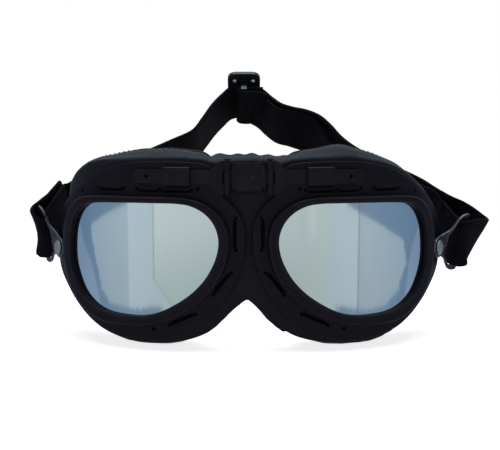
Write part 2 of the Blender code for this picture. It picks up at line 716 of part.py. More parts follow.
# ---- webbing looped through each clip: clip x, clip z, turn in the clip's plane, raise
LOOP_PATHS = {
    "right": [
        (21.0, -15.1, 0, 5.85), (17.5, -9.9, 0, 4.35), (15.0, -4.6, 0, 2.2),
        (13.6, -1.2, 0, 0.8), (13.1, 1.6, 0, 0), (14.4, 4.15, 0, 0.2), (17.1, 4.75, 2, 0.8),
        (20.1, 2.9, 4, 1.5), (21.0, -3.0, 4, 3.2), (21.9, -9.0, 3, 5.0), (23.1, -12.5, 2, 6.2)],
    "left": [
        (12.8, -13.6, 5.8, 2.4), (12.9, -7.8, 2, 1.4), (13.2, -2.6, 0, 0.6),
        (13.2, 1.6, 0, 0.1), (14.4, 4.4, 1.5, 0.2), (16.4, 5.6, 6, 1.1), (19.2, 5.4, 14, 2.6),
        (23.5, 4.35, 20.7, 3.7), (26.1, 1.65, 22.4, 4.35), (25.7, -3.8, 22.4, 4.8),
        (23.4, -10.2, 20.7, 5.3), (20.6, -16.3, 18.9, 5.4)]}


def sway(x, y, degrees):
    """A point of the band turned in the clip's own plane about the clip bar."""
    cos, sin = math.cos(math.radians(degrees)), math.sin(math.radians(degrees))
    return CLIP_BAR + (x - CLIP_BAR) * cos + y * sin, y * cos - (x - CLIP_BAR) * sin


def strap_loop(side, tag):
    place = clip_place(side, tag)
    path = [Vector(point) for point in smooth_path(LOOP_PATHS[tag])]
    rows = []
    for i, point in enumerate(path):
        step = path[min(i + 1, len(path) - 1)] - path[max(i - 1, 0)]
        heading = Vector((step[0], step[1])).normalized()
        normal = Vector((-heading.y, heading.x)) * (WEB_T / 2)
        row = []
        for edge, face in rectangle(-1, 1, -1, 1):
            x, y = sway(point[0] + normal.x * face,
                        edge * WEB_W / 2 + LOOP_RAISE + point[3], point[2])
            row.append(place(x, y, point[1] + normal.y * face))
        rows.append(row)
    add("strap_loop_" + tag, bar(rows), rivet_axes(side)[0], ELASTIC)


# ---- strap from the right clip around the rear to the left clip
STRAP_RUN = [  # x, distance up the sloping plane, forward lean of the width, change in height
    (-97.6, 18.0, 34, -0.6), (-83.0, 28.0, 40, 0), (-69.0, 36.6, 44, 0), (-55.0, 44.8, 45, 0),
    (-41.0, 53.0, 45, 0), (-30.5, 60.6, 46, 0), (-25.6, 70.0, 46, 0), (-20.2, 80.6, 44, 0),
    (-15.0, 88.0, 43, 0), (-10.8, 93.0, 44, 0), (-7.5, 94.3, 44, 0.1), (-2.9, 94.6, 44, 0.1),
    (1.8, 94.4, 43, 0), (5.4, 93.7, 42, -0.7), (8.8, 91.6, 42, -1.3), (12.6, 87.4, 42, -1.5),
    (18.2, 81.0, 43, -0.8), (24.4, 77.4, 45, 0), (32.0, 75.2, 45, 0), (38.8, 71.2, 45, 0),
    (44.6, 64.4, 45, 0), (50.6, 55.6, 45, -0.4), (58.0, 48.4, 45, -1.0), (66.0, 42.6, 45, -1.0),
    (78.0, 33.4, 43, -0.5), (91.0, 24.4, 39, -0.9), (100.0, 18.2, 36, -2.4)]
SLIDER_STATION = 11
# The layer nearer the head runs beside the last stations, slack and more upright.
SLACK = [  # drop below the outer layer, lean taken off
    (4.0, 5), (3.9, 6), (3.1, 10), (3.4, 13), (5.2, 14), (7.5, 14), (8.5, 13), (7.5, 11),
    (6.0, 8), (4.0, 5), (1.6, 2), (0.0, 0)]


def strap_point(x, distance, lean, lift):
    return x, STRAP_Y + DIAGONAL * distance, STRAP_Z + DIAGONAL * distance + lift, lean


STRAP_POINTS = [strap_point(*station) for station in STRAP_RUN]


def lean_axis(degrees):
    angle = math.radians(degrees)
    return Vector((0.0, -math.sin(angle), math.cos(angle))).normalized()


def band(name, stations, shift=0.0):
    """Flat webbing through (x, y, z, lean) stations, shifted across its thickness."""
    path = smooth_path(stations)
    rows = []
    for i, (x, y, z, lean) in enumerate(path):
        before, after = path[max(i - 1, 0)], path[min(i + 1, len(path) - 1)]
        heading = Vector([after[k] - before[k] for k in range(3)]).normalized()
        width = lean_axis(lean)
        width = (width - heading * width.dot(heading)).normalized()
        normal = heading.cross(width).normalized()
        middle = Vector((x, y, z)) + normal * shift
        rows.append([(middle + width * (WEB_W / 2 * edge) + normal * (WEB_T / 2 * face)) * MM
                     for edge, face in rectangle(-1, 1, -1, 1)])
    add(name, bar(rows), (0, 0, 0), ELASTIC)


def strap_inner_band():
    stations = [(x, y, z - drop, lean - upright_by) for (x, y, z, lean), (drop, upright_by)
                in zip(STRAP_POINTS[-len(SLACK):], SLACK)]
    band("strap_inner_band", stations, shift=WEB_T + LAYER_GAP)


# ---- slider: local x along world X, y up the webbing's width, z toward the head
SLIDER_CENTRE = Vector(STRAP_POINTS[SLIDER_STATION][:3])
SLIDER_HALF = 9.3
SLIDER_TOP, SLIDER_LOW = 20.8, -14.9      # the webbing sits low in a taller frame
SLIDER_CORNERS = [  # x sign, y end, y sign, first angle, radius
    (1, SLIDER_TOP, 1, 0, 4.6), (-1, SLIDER_TOP, 1, 90, 4.6),
    (-1, SLIDER_LOW, -1, 180, 2.6), (1, SLIDER_LOW, -1, 270, 2.6)]
SLIDER_WINDOW = [(-6.6, -13.1), (6.6, -13.1), (6.6, 7.2), (5.4, 8.4), (-5.4, 8.4), (-6.6, 7.2)]
RAIL_HALF = 1.7
CROSS_BAR = (3.6, 5.0)    # outer and head-side faces of the cross bar


def slider_place(x, y, z):
    width = lean_axis(STRAP_RUN[SLIDER_STATION][2])
    across = Vector((1, 0, 0))
    headward = across.cross(width)      # forward and down
    return (SLIDER_CENTRE + across * x + width * y + headward * z) * MM


def strap_slider():
    outline = []
    for x_sign, end, y_sign, first, radius in SLIDER_CORNERS:
        for i in range(5):
            angle = math.radians(first + 22.5 * i)
            outline.append((x_sign * (SLIDER_HALF - radius) + radius * math.cos(angle),
                            end - y_sign * radius + radius * math.sin(angle)))
    place = about(SLIDER_CENTRE * MM, slider_place)
    slider = add("strap_slider", prism(outline, -4.3, -2.1, place), (0, 0, 0), GLOSS)
    # the main window and two small openings at the upper corners of the webbing
    cuts = [prism(SLIDER_WINDOW, -6, 0, place)]
    cuts += [prism(rectangle(x, x + 1.9, 13.3, 15.5), -6, 0, place) for x in (-6.3, 4.4)]
    carve(slider, cuts)
    # end rails pass the webbing's edges to the cross bar on the head side
    rails = [prism(rectangle(-RAIL_HALF, RAIL_HALF, low, high), -2.6, CROSS_BAR[1], place)
             for low, high in ((-14.7, -13.1), (13.1, 15.0))]
    rails.append(prism(rectangle(-RAIL_HALF, RAIL_HALF, -13.9, 14.1), *CROSS_BAR, place))
    carve(slider, rails, "UNION")
    slider.location = SLIDER_CENTRE * MM


def strap_end_loop():
    """Webbing wrapped around the slider's cross bar."""
    middle = sum(CROSS_BAR) / 2
    section = [  # x radius, z radius, y
        (2.7, 1.2, -12.4), (4.2, 2.6, -12.4), (4.2, 2.6, 12.4), (2.7, 1.2, 12.4)]
    stations = [[slider_place(x_radius * cos, y, middle + z_radius * sin)
                 for x_radius, z_radius, y in section] for cos, sin in circle(1.0, 16)]
    add("strap_end_loop", ring(stations), SLIDER_CENTRE * MM, ELASTIC)


bridge_plate()
bridge_rivet()
mask_nose_bridge()
for tag, side in SIDES.items():
    for build in (frame_plate, lens_rim, lens, lens_seal, lens_retainer, mask_shell, face_pad,
                  bridge_keeper, strap_rivet, rivet_washer, hinge_leaf, hinge_pin,
                  strap_clip, strap_loop):
        build(side, tag)
band("strap_main_band", STRAP_POINTS)
strap_inner_band()
strap_slider()
strap_end_loop()

bpy.context.view_layer.update()
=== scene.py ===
"""Looks of the motorcycle goggles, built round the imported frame.

The scene is in metres and the tables are in millimetres. +Z is up, the goggles look along -Y
and the wearer's right is -X. Each half is mirrored about x = 0 and carries a mirror lens in a
stamped plate; a soft mask lies behind both, and a woven strap closes the hoop at +Y.
"""

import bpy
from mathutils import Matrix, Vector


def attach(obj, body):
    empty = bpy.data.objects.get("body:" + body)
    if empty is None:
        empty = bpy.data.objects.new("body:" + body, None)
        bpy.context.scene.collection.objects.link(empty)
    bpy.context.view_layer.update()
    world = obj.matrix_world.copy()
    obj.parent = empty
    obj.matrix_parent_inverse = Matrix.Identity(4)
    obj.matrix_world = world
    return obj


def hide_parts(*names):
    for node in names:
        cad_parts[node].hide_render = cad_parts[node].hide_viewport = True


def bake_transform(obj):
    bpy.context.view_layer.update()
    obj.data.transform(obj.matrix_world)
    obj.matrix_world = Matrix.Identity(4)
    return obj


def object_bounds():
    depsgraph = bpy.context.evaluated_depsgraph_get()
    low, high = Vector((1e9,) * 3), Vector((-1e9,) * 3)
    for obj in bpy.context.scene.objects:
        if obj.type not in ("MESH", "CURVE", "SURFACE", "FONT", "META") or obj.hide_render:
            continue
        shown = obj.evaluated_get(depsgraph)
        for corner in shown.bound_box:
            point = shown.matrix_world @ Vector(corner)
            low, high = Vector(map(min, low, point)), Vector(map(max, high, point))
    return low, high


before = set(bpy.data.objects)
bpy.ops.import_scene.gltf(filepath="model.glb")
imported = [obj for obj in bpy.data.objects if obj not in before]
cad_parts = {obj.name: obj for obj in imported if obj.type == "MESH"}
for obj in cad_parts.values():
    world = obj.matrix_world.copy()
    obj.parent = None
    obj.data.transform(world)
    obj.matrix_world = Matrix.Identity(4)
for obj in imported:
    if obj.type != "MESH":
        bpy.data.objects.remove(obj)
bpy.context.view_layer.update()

import math
from functools import lru_cache

import bmesh
import bpy
import numpy as np
from mathutils import Vector, noise

MM = 0.001
SIDES = ((-1, "right"), (1, "left"))    # sign of x, name
scene = bpy.context.scene

# ---------------------------------------------------------------- the curved face
# Face coordinates: distance along the face from x = 0, height z above the lens centre, and
# distance out of the face, positive to the front. The face runs flat, then bends twice.
LENS_Z = -38.5
FACE_Y = 0.2
FLAT_TILT, FLAT_LENGTH = math.radians(5.0), 22.0
WRAP_RADIUS, WRAP_END, TEMPLE_RADIUS = 105.0, 90.0, 60.0
CENTRE = (55.0, 0.0)                    # eye centre, (along, z)
RIVET_ALONG = 108.5
VERTICAL = np.array([0, 0, 1.0])

# Outlines round one eye as (along, z).
OUTLINES = {
    "open": [
        (94.2, 3.5), (92.6, 12.5), (88.6, 19.6), (82.4, 24.0), (74.0, 25.4), (57.5, 26.0),
        (43.0, 26.2), (33.5, 26.1), (26.8, 25.0), (20.6, 21.6), (16.2, 16.4), (14.1, 9.8),
        (14.7, 2.8), (17.4, -4.2), (21.9, -11.2), (28.4, -17.6), (36.9, -23.2), (44.0, -26.4),
        (51.0, -28.0), (59.5, -28.3), (69.8, -27.6), (78.4, -24.9), (86.2, -19.4), (91.0, -12.2),
        (93.8, -4.4)],
    "rim": [
        (100.6, 4.0), (99.0, 14.0), (94.2, 22.2), (87.0, 27.4), (76.5, 29.0), (58.0, 29.4),
        (43.0, 29.6), (32.5, 29.4), (24.2, 28.0), (16.2, 23.8), (10.8, 17.6), (8.9, 9.8),
        (9.4, 1.8), (12.0, -6.2), (16.8, -14.2), (23.8, -21.2), (33.0, -27.4), (41.6, -31.0),
        (50.2, -32.7), (59.6, -33.4), (71.2, -33.0), (81.6, -29.8), (91.2, -22.4), (97.0, -14.0),
        (100.2, -4.8)],
    "plate": [
        (117.4, 0.0), (116.8, 6.5), (114.0, 13.5), (108.0, 20.6), (101.0, 26.4), (93.0, 31.6),
        (84.0, 36.6), (75.0, 40.8), (66.0, 43.6), (56.0, 45.2), (45.0, 45.9), (32.4, 45.8),
        (20.6, 44.6), (15.4, 41.0), (14.0, 35.4), (12.6, 30.2), (8.4, 26.0), (5.0, 21.8),
        (2.6, 16.0), (1.9, 8.0), (3.2, -1.2), (6.5, -10.5), (11.5, -19.0), (18.9, -27.4),
        (26.5, -33.4), (35.0, -37.8), (45.0, -40.3), (56.0, -41.0), (67.0, -39.7), (77.5, -36.5),
        (87.0, -31.5), (96.0, -25.0), (104.0, -18.5), (112.0, -12.0), (116.0, -6.5)],
    "mask_front": [
        (118.2, 0.0), (117.6, 9.0), (114.6, 17.6), (108.6, 24.6), (100.0, 31.4), (91.0, 37.0),
        (80.0, 42.2), (68.0, 45.6), (55.0, 47.4), (41.0, 48.0), (27.0, 47.8), (17.0, 46.0),
        (12.6, 40.6), (11.6, 32.0), (11.5, 20.0), (11.5, 9.0), (11.5, -3.0), (11.6, -14.0),
        (12.0, -23.0), (14.6, -29.6), (20.0, -34.4), (27.5, -38.2), (36.0, -40.8), (45.0, -42.0),
        (56.0, -42.2), (67.0, -40.6), (78.0, -37.0), (88.0, -31.8), (97.6, -25.2), (106.6, -18.0),
        (114.0, -10.6), (117.4, -5.0)],
    "mask_rear": [
        (118.6, 0.0), (118.4, 10.0), (116.2, 19.4), (110.8, 27.4), (102.0, 35.4), (92.0, 41.8),
        (81.0, 46.0), (69.0, 49.3), (56.0, 50.7), (42.0, 50.9), (29.0, 50.2), (21.0, 47.9),
        (18.6, 42.0), (18.4, 32.0), (18.4, 20.0), (18.4, 9.0), (18.5, -3.0), (18.8, -14.0),
        (19.6, -24.0), (22.0, -31.6), (27.0, -36.8), (34.0, -40.4), (43.0, -42.6), (53.0, -43.2),
        (64.0, -41.8), (75.0, -38.6), (85.0, -34.0), (95.0, -27.6), (104.6, -20.2), (112.6, -12.4),
        (117.4, -5.6)],
}
ROUND_VENT = 3.0                        # a vent shorter than this is a plain round hole
VENTS = [                               # along, z, length, half width, slope in degrees
    (69.5, 33.0, 15.0, 1.0, 0.0), (48.4, 32.9, 11.5, 1.0, 0.0), (34.2, 32.8, 14.0, 0.9, 0.0),
    (5.8, 11.8, 14.5, 1.0, 90.0), (12.3, -12.0, 13.0, 1.0, -51.0),
    (31.6, -29.8, 13.5, 1.0, -24.0), (24.0, 33.0, 1.8, 0.9, 0.0), (88.6, 30.2, 2.0, 1.0, 0.0),
    (46.4, -34.6, 1.8, 0.9, 0.0)]


def unit(vector):
    vector = np.asarray(vector, float)
    return vector / np.linalg.norm(vector)


def smoothstep(start, end, value):
    share = np.clip((np.asarray(value, float) - start) / (end - start), 0, 1)
    return share * share * (3 - 2 * share)


def bell(value, middle, width):
    return np.exp(-((value - middle) / width) ** 2)


def turn(along):
    """Angle of the face from the X axis."""
    along = np.asarray(along, float)
    wrap = np.clip(along - FLAT_LENGTH, 0, WRAP_END - FLAT_LENGTH) / WRAP_RADIUS
    return FLAT_TILT + wrap + np.clip(along - WRAP_END, 0, None) / TEMPLE_RADIUS


def plan(along):
    """The face seen from above: x and y."""
    along = np.asarray(along, float)
    flat = np.minimum(along, FLAT_LENGTH)
    wrap = turn(np.clip(along, FLAT_LENGTH, WRAP_END))
    wrap_end = turn(WRAP_END)
    temple = turn(np.maximum(along, WRAP_END))
    x = flat * math.cos(FLAT_TILT) + WRAP_RADIUS * (np.sin(wrap) - math.sin(FLAT_TILT))
    y = flat * math.sin(FLAT_TILT) + WRAP_RADIUS * (math.cos(FLAT_TILT) - np.cos(wrap))
    x = x + TEMPLE_RADIUS * (np.sin(temple) - np.sin(wrap_end))
    y = y + TEMPLE_RADIUS * (np.cos(wrap_end) - np.cos(temple))
    return x, y


def on_face(along, z, out, side):
    """World points in millimetres, shape (..., 3)."""
    along, z, out = np.broadcast_arrays(*(np.asarray(v, float) for v in (along, z, out)))
    x, y = plan(along)
    angle = turn(along)
    return np.stack([side * (x + out * np.sin(angle)), FACE_Y + y - out * np.cos(angle),
                     LENS_Z + z], -1)


def smooth_curve(points, steps=16, closed=True):
    """Catmull-Rom curve through the points."""
    points = np.array(points, float)
    share = (np.arange(steps) / steps)[:, None]
    curve = []
    for i in range(len(points) if closed else len(points) - 1):
        before, start, end, after = points.take(
            np.arange(i - 1, i + 3), axis=0, mode="wrap" if closed else "clip")
        curve.append(0.5 * (2 * start + (end - before) * share
                            + (2 * before - 5 * start + 4 * end - after) * share ** 2
                            + (3 * start - before - 3 * end + after) * share ** 3))
    if not closed:
        curve.append(points[-1:])
    return np.concatenate(curve)


def reach(loop, angles, centre=CENTRE):
    """Distance from the centre to the outermost crossing of a closed outline, per direction."""
    starts = loop - np.array(centre)
    ends = np.roll(starts, -1, axis=0)
    out = np.zeros(len(angles))
    for i, angle in enumerate(angles):
        dx, dy = math.cos(angle), math.sin(angle)
        cross_start = dx * starts[:, 1] - dy * starts[:, 0]
        cross_end = dx * ends[:, 1] - dy * ends[:, 0]
        hit = (cross_start > 0) != (cross_end > 0)
        share = cross_start[hit] / (cross_start[hit] - cross_end[hit])
        start, end = starts[hit], ends[hit]
        out[i] = (dx * (start[:, 0] + (end[:, 0] - start[:, 0]) * share)
                  + dy * (start[:, 1] + (end[:, 1] - start[:, 1]) * share)).max()
    return out


LOOPS = {name: smooth_curve(points) for name, points in OUTLINES.items()}


@lru_cache(maxsize=None)
def rays(count):
    """Directions evenly spaced along the rim, and the radius of every outline in each."""
    loop = LOOPS["rim"]
    lengths = np.linalg.norm(np.roll(loop, -1, 0) - loop, axis=1)
    travelled = np.concatenate([[0], np.cumsum(lengths)])
    wanted = travelled[-1] * np.arange(count) / count
    along, z = (np.interp(wanted, travelled, np.append(loop[:, i], loop[0, i])) for i in (0, 1))
    angles = np.arctan2(z - CENTRE[1], along - CENTRE[0])
    return {"angle": angles, **{name: reach(points, angles) for name, points in LOOPS.items()}}


def polar(angle, radius):
    return CENTRE[0] + radius * np.cos(angle), CENTRE[1] + radius * np.sin(angle)


# ---------------------------------------------------------------- meshes
def new_object(name, verts_mm, faces, material, smooth=True, uvs=None, attributes=None):
    mesh = bpy.data.meshes.new(name)
    mesh.from_pydata([tuple(v) for v in (np.asarray(verts_mm) * MM)], [], faces)
    mesh.materials.append(material)
    if smooth:
        mesh.polygons.foreach_set("use_smooth", [True] * len(mesh.polygons))
    if uvs is not None:
        layer = mesh.uv_layers.new(name="UVMap")
        corners = np.zeros(len(mesh.loops), np.int32)
        mesh.loops.foreach_get("vertex_index", corners)
        layer.data.foreach_set("uv", np.asarray(uvs, np.float32)[corners].ravel())
    for key, values in (attributes or {}).items():
        attribute = mesh.attributes.new(key, "FLOAT", "POINT")
        attribute.data.foreach_set("value", np.asarray(values, np.float32))
    mesh.validate()
    return link_mesh(name, mesh)


def link_mesh(name, mesh):
    ob = bpy.data.objects.new(name, mesh)
    scene.collection.objects.link(ob)
    return ob


def grid_faces(rows, columns, wrap_rows=True, wrap_columns=True):
    faces = []
    for i in range(rows if wrap_rows else rows - 1):
        here, following = i * columns, (i + 1) % rows * columns
        for j in range(columns if wrap_columns else columns - 1):
            k = (j + 1) % columns
            faces.append((here + j, following + j, following + k, here + k))
    return faces


def outward(ob):
    """Turn all normals to the outside."""
    bm = bmesh.new()
    bm.from_mesh(ob.data)
    bmesh.ops.recalc_face_normals(bm, faces=bm.faces)
    bm.to_mesh(ob.data)
    bm.free()
    return ob


def solid(*args, **options):
    return outward(new_object(*args, **options))


def ring_points(rows, side):
    """Points round an eye, shape (directions, rows, 3), from rows of (radii, out)."""
    angle = rays(len(rows[0][0]))["angle"]
    return np.stack([on_face(*polar(angle, radii), out, side) for radii, out in rows], axis=1)


def ring_object(name, rows, side, material, **row_values):
    """A ring closed both ways; row_values holds one value or array per row."""
    points = ring_points(rows, side)
    count = len(points)
    attributes = {key: np.stack([np.broadcast_to(v, count) for v in values], axis=1).ravel()
                  for key, values in row_values.items()}
    return solid(name, points.reshape(-1, 3), grid_faces(count, len(rows)), material,
                 attributes=attributes)


def place_piece(ob, body, slot, *nodes, span=None):
    """Tie a piece to one body; given a span in metres, only bake its transform in place. Then hide
    the nodes it stands in for.
    """
    if span is None:
        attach(ob, body)
    else:
        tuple(span[0])
        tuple(span[1])
        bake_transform(ob)
    if nodes:
        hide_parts(*nodes)
    return ob


def lumps(points, scale, seed):
    """Smooth noise at each point."""
    return np.array([noise.noise(Vector((x * scale + seed, y * scale - seed * 0.7,
                                         z * scale + seed * 1.3))) for x, y, z in points])


# ---------------------------------------------------------------- materials
class Shader:
    """The node tree of a material or world, with short calls for the nodes used here."""

    def __init__(self, owner):
        owner.use_nodes = True
        self.owner = owner
        self.nodes = owner.node_tree.nodes
        self.links = owner.node_tree.links

    def fill(self, node, inputs):
        """Link or set inputs; colours are given as three numbers."""
        for key, value in inputs.items():
            socket = node.inputs[key]
            if isinstance(value, bpy.types.NodeSocket):
                self.links.new(value, socket)
            else:
                socket.default_value = (*value, 1) if socket.type == "RGBA" else value

    def node(self, kind, inputs, **settings):
        node = self.nodes.new("ShaderNode" + kind)
        for key, value in settings.items():
            setattr(node, key, value)
        self.fill(node, inputs)
        return node

    def coords(self, kind="Object"):
        return self.node("TexCoord", {}).outputs[kind]

    def attribute(self, name, output="Fac"):
        return self.node("Attribute", {}, attribute_name=name).outputs[output]

    def math(self, operation, first, second=None, clamp=False):
        inputs = {0: first} if second is None else {0: first, 1: second}
        return self.node("Math", inputs, operation=operation, use_clamp=clamp).outputs[0]

    def multiply(self, first, second, clamp=False):
        return self.math("MULTIPLY", first, second, clamp)

    def scaled(self, value, scale, offset, clamp=False):
        return self.math("ADD", self.multiply(value, scale), offset, clamp)

    def noise(self, place, scale, detail=4.0, roughness=0.5):
        return self.node("TexNoise", {"Scale": scale, "Detail": detail, "Roughness": roughness,
                                      "Vector": place}).outputs["Fac"]

    def ramp(self, value, stops):
        """Colour ramp through (position, colour) stops."""
        node = self.node("ValToRGB", {"Fac": value})
        elements = node.color_ramp.elements
        while len(elements) < len(stops):
            elements.new(0.5)
        for element, (position, colour) in zip(elements, stops):
            element.position = position
            element.color = (*colour, 1)
        return node.outputs["Color"]

    def mix(self, share, first, second):
        """Colour mix; sockets 6 and 7 are the colour inputs, 2 the colour output."""
        return self.node("Mix", {0: share, 6: first, 7: second}, data_type="RGBA").outputs[2]

    def bump(self, height, strength, distance, normal=None):
        inputs = {"Strength": strength, "Distance": distance, "Height": height}
        if normal is not None:
            inputs["Normal"] = normal
        return self.node("Bump", inputs).outputs["Normal"]

    def edge_mask(self, radius, power):
        """Bright on edges: how far the rounded normal leans from the true one."""
        rounded = self.node("Bevel", {"Radius": radius}, samples=4).outputs["Normal"]
        true = self.node("NewGeometry", {}).outputs["Normal"]
        dot = self.node("VectorMath", {0: rounded, 1: true}, operation="DOT_PRODUCT")
        lean = self.math("SUBTRACT", 1.0, dot.outputs["Value"], clamp=True)
        return self.multiply(lean, power, clamp=True)

    def principled(self, inputs):
        self.fill(self.nodes["Principled BSDF"], inputs)
        return self.owner


def new_shader(name):
    return Shader(bpy.data.materials.new(name))


def tint(colour, factor):
    return tuple(channel * factor for channel in colour)


def make_paint():
    """Black paint: grey where "edge" marks wear, with shade painted near black into the vent
    slots, which are also duller.
    """
    shade = new_shader("frame_paint_black")
    place = shade.coords()
    broad = shade.noise(place, scale=55.0, detail=3)
    fine = shade.noise(place, scale=1400.0, detail=2, roughness=0.6)
    colour = shade.ramp(broad, [(0.3, (0.0048, 0.0030, 0.0068)), (0.75, (0.0076, 0.0050, 0.0104))])
    worn = shade.multiply(shade.attribute("edge"),
                          shade.multiply(shade.noise(place, scale=420.0), 0.9))
    colour = shade.mix(worn, colour, (0.020, 0.020, 0.024))
    # Painted shade: the vent slots and holes are painted near black, standing in for the shade
    # inside them.
    pit = shade.attribute("pit")
    colour = shade.mix(pit, colour, (0.0015, 0.0015, 0.0018))
    rough = shade.scaled(shade.noise(place, scale=240.0, detail=5), scale=0.22, offset=0.34)
    rough = shade.math("ADD", rough, shade.multiply(pit, 0.5), clamp=True)
    normal = shade.bump(fine, strength=0.10, distance=0.0004)
    normal = shade.bump(shade.noise(place, scale=130.0, detail=2), strength=0.10,
                        distance=0.0012, normal=normal)
    return shade.principled({"Base Color": colour, "Roughness": rough,
                             "Specular IOR Level": 0.10, "Normal": normal})


def make_vinyl():
    """Soft black vinyl with a grain of small warped cells, with shade painted darker along the
    cell edges.
    """
    shade = new_shader("mask_vinyl_black")
    place = shade.coords()
    wander = shade.node("TexNoise", {"Scale": 380.0, "Vector": place}).outputs["Color"]
    warped = shade.node("VectorMath", {0: wander, 1: (0.0016,) * 3, 2: place},
                        operation="MULTIPLY_ADD").outputs[0]
    cells = shade.node("TexVoronoi", {"Scale": 1150.0, "Vector": warped},
                       feature="DISTANCE_TO_EDGE")
    cell = shade.multiply(cells.outputs["Distance"], 9.0, clamp=True)
    colour = shade.ramp(shade.noise(place, scale=40.0),
                        [(0.25, (0.0038, 0.0024, 0.0060)), (0.8, (0.0066, 0.0048, 0.0100))])
    # Painted shade: the edges of the grain cells are coloured darker, as shade in the creases.
    crease_shade = shade.math("SUBTRACT", 1.0, cell, clamp=True)
    colour = shade.mix(crease_shade, colour, (0.0032, 0.0030, 0.0042))
    rough = shade.scaled(shade.noise(place, scale=160.0), scale=0.22, offset=0.42)
    normal = shade.bump(cell, strength=0.28, distance=0.00022)
    normal = shade.bump(shade.noise(place, scale=260.0, detail=3), strength=0.25,
                        distance=0.0007, normal=normal)
    return shade.principled({
        "Base Color": colour, "Roughness": rough, "Specular IOR Level": 0.16,
        "Sheen Weight": 0.066, "Sheen Roughness": 0.45, "Sheen Tint": (0.46, 0.74, 0.90),
        "Normal": normal})


def make_mirror():
    """Silver mirror with faint smudges; its colour, greener at the nose and darker blue toward the
    temple, is partly the coating's tint and partly painted reflection.
    """
    nose_x, per_metre = 0.012, 13.2     # where the tint starts, and how fast it runs outward
    shade = new_shader("lens_mirror_silver")
    place = shade.coords()
    split = shade.node("SeparateXYZ", {0: place})
    across = shade.math("ABSOLUTE", split.outputs["X"])
    across = shade.multiply(shade.math("SUBTRACT", across, nose_x), per_metre, clamp=True)
    drift = shade.math("SUBTRACT", shade.noise(place, scale=16.0, detail=2), 0.5)
    across = shade.math("ADD", across, shade.multiply(drift, 0.16), clamp=True)
    # Painted reflection: the ramp paints part of the reflected pattern into the lens colour,
    # greenish grey at the nose, palest in the middle, darker blue at the temple.
    colour = shade.ramp(across, [
        (0.0, (0.60, 0.655, 0.64)), (0.34, (0.66, 0.715, 0.705)), (0.62, (0.70, 0.765, 0.79)),
        (0.88, (0.56, 0.655, 0.735)), (1.0, (0.42, 0.52, 0.63))])
    smudge = shade.noise(place, scale=70.0, detail=5, roughness=0.6)
    return shade.principled({
        "Base Color": shade.mix(shade.multiply(smudge, 0.10), colour, (0.80, 0.84, 0.85)),
        "Metallic": 1.0,
        "Roughness": shade.scaled(smudge, scale=0.05, offset=0.035),
        "Coat Weight": 0.35, "Coat Roughness": 0.02,
        "Normal": shade.bump(shade.noise(place, scale=22.0, detail=1), strength=0.05,
                             distance=0.0015)})


def make_steel(name, base, roughness, worn_colour, worn, radius):
    """Mottled, streaked steel with brighter worn edges."""
    shade = new_shader(name)
    place = shade.coords()
    colour = shade.ramp(shade.noise(place, scale=120.0, detail=5, roughness=0.6),
                        [(0.3, tint(base, 0.75)), (0.75, tint(base, 1.3))])
    edge = shade.edge_mask(radius, power=5.0)
    wear = shade.multiply(shade.noise(place, scale=700.0, detail=3), worn * 1.7)
    colour = shade.mix(shade.multiply(edge, wear, clamp=True), colour, worn_colour)
    stretched = shade.node("Mapping", {"Scale": (1.0, 1.0, 9.0), "Vector": place}).outputs[0]
    streak = shade.noise(stretched, scale=500.0, detail=3)
    return shade.principled({
        "Base Color": colour, "Metallic": 0.85,
        "Roughness": shade.scaled(streak, scale=0.25, offset=roughness),
        "Normal": shade.bump(streak, strength=0.12, distance=0.0002)})


def make_webbing():
    """Woven elastic, with shade painted darker into the grooves of the weave. The UV map is in
    millimetres: u along the band, v across it.
    """
    rib_pitch, weft_pitch = 0.95, 1.15
    shade = new_shader("elastic_webbing_black")
    split = shade.node("SeparateXYZ", {0: shade.coords("UV")})
    along, across = split.outputs["X"], split.outputs["Y"]
    rib = shade.math("SINE", shade.multiply(across, 2 * math.pi / rib_pitch))
    row = shade.math("FLOOR", shade.multiply(across, 1 / rib_pitch))
    odd = shade.multiply(shade.math("MODULO", row, 2.0), math.pi)
    weft = shade.scaled(along, scale=2 * math.pi / weft_pitch, offset=odd)
    weft = shade.math("SINE", weft)
    height = shade.math("ADD", shade.multiply(rib, 0.5), shade.multiply(weft, 0.5))
    height = shade.scaled(height, scale=0.5, offset=0.5, clamp=True)
    place = shade.coords()
    mottle = shade.noise(place, scale=90.0)
    low = shade.ramp(mottle, [(0.3, (0.0012, 0.0009, 0.0017)), (0.8, (0.0024, 0.0018, 0.0034))])
    high = shade.ramp(mottle, [(0.3, (0.0038, 0.0028, 0.0052)), (0.8, (0.0078, 0.0060, 0.0104))])
    # Painted shade: the low parts of the weave take the darker colour, and the raised yarn the
    # lighter one.
    colour = shade.mix(height, low, high)
    colour = shade.mix(shade.attribute("stitch"), colour, (0.020, 0.020, 0.023))
    rough = shade.scaled(shade.noise(place, scale=300.0, detail=3), scale=0.2, offset=0.62)
    normal = shade.bump(height, strength=0.75, distance=0.00022)
    normal = shade.bump(shade.noise(place, scale=1500.0, detail=2), strength=0.25,
                        distance=0.0002, normal=normal)
    return shade.principled({
        "Base Color": colour, "Roughness": rough, "Specular IOR Level": 0.05,
        "Sheen Weight": 0.006, "Sheen Roughness": 0.5, "Normal": normal})


def make_plain(name, base, roughness, specular, grain, depth, coat=0.0, sheen=0.0):
    """One mottled colour with a fine grain: its scale, and the strength of its bump."""
    shade = new_shader(name)
    place = shade.coords()
    colour = shade.ramp(shade.noise(place, scale=60.0),
                        [(0.3, tint(base, 0.7)), (0.75, tint(base, 1.35))])
    return shade.principled({
        "Base Color": colour,
        "Roughness": shade.scaled(shade.noise(place, scale=200.0), scale=0.14,
                                  offset=roughness - 0.05),
        "Specular IOR Level": specular, "Coat Weight": coat, "Sheen Weight": sheen,
        "Normal": shade.bump(shade.noise(place, scale=grain, roughness=0.65), strength=depth,
                             distance=0.0006)})


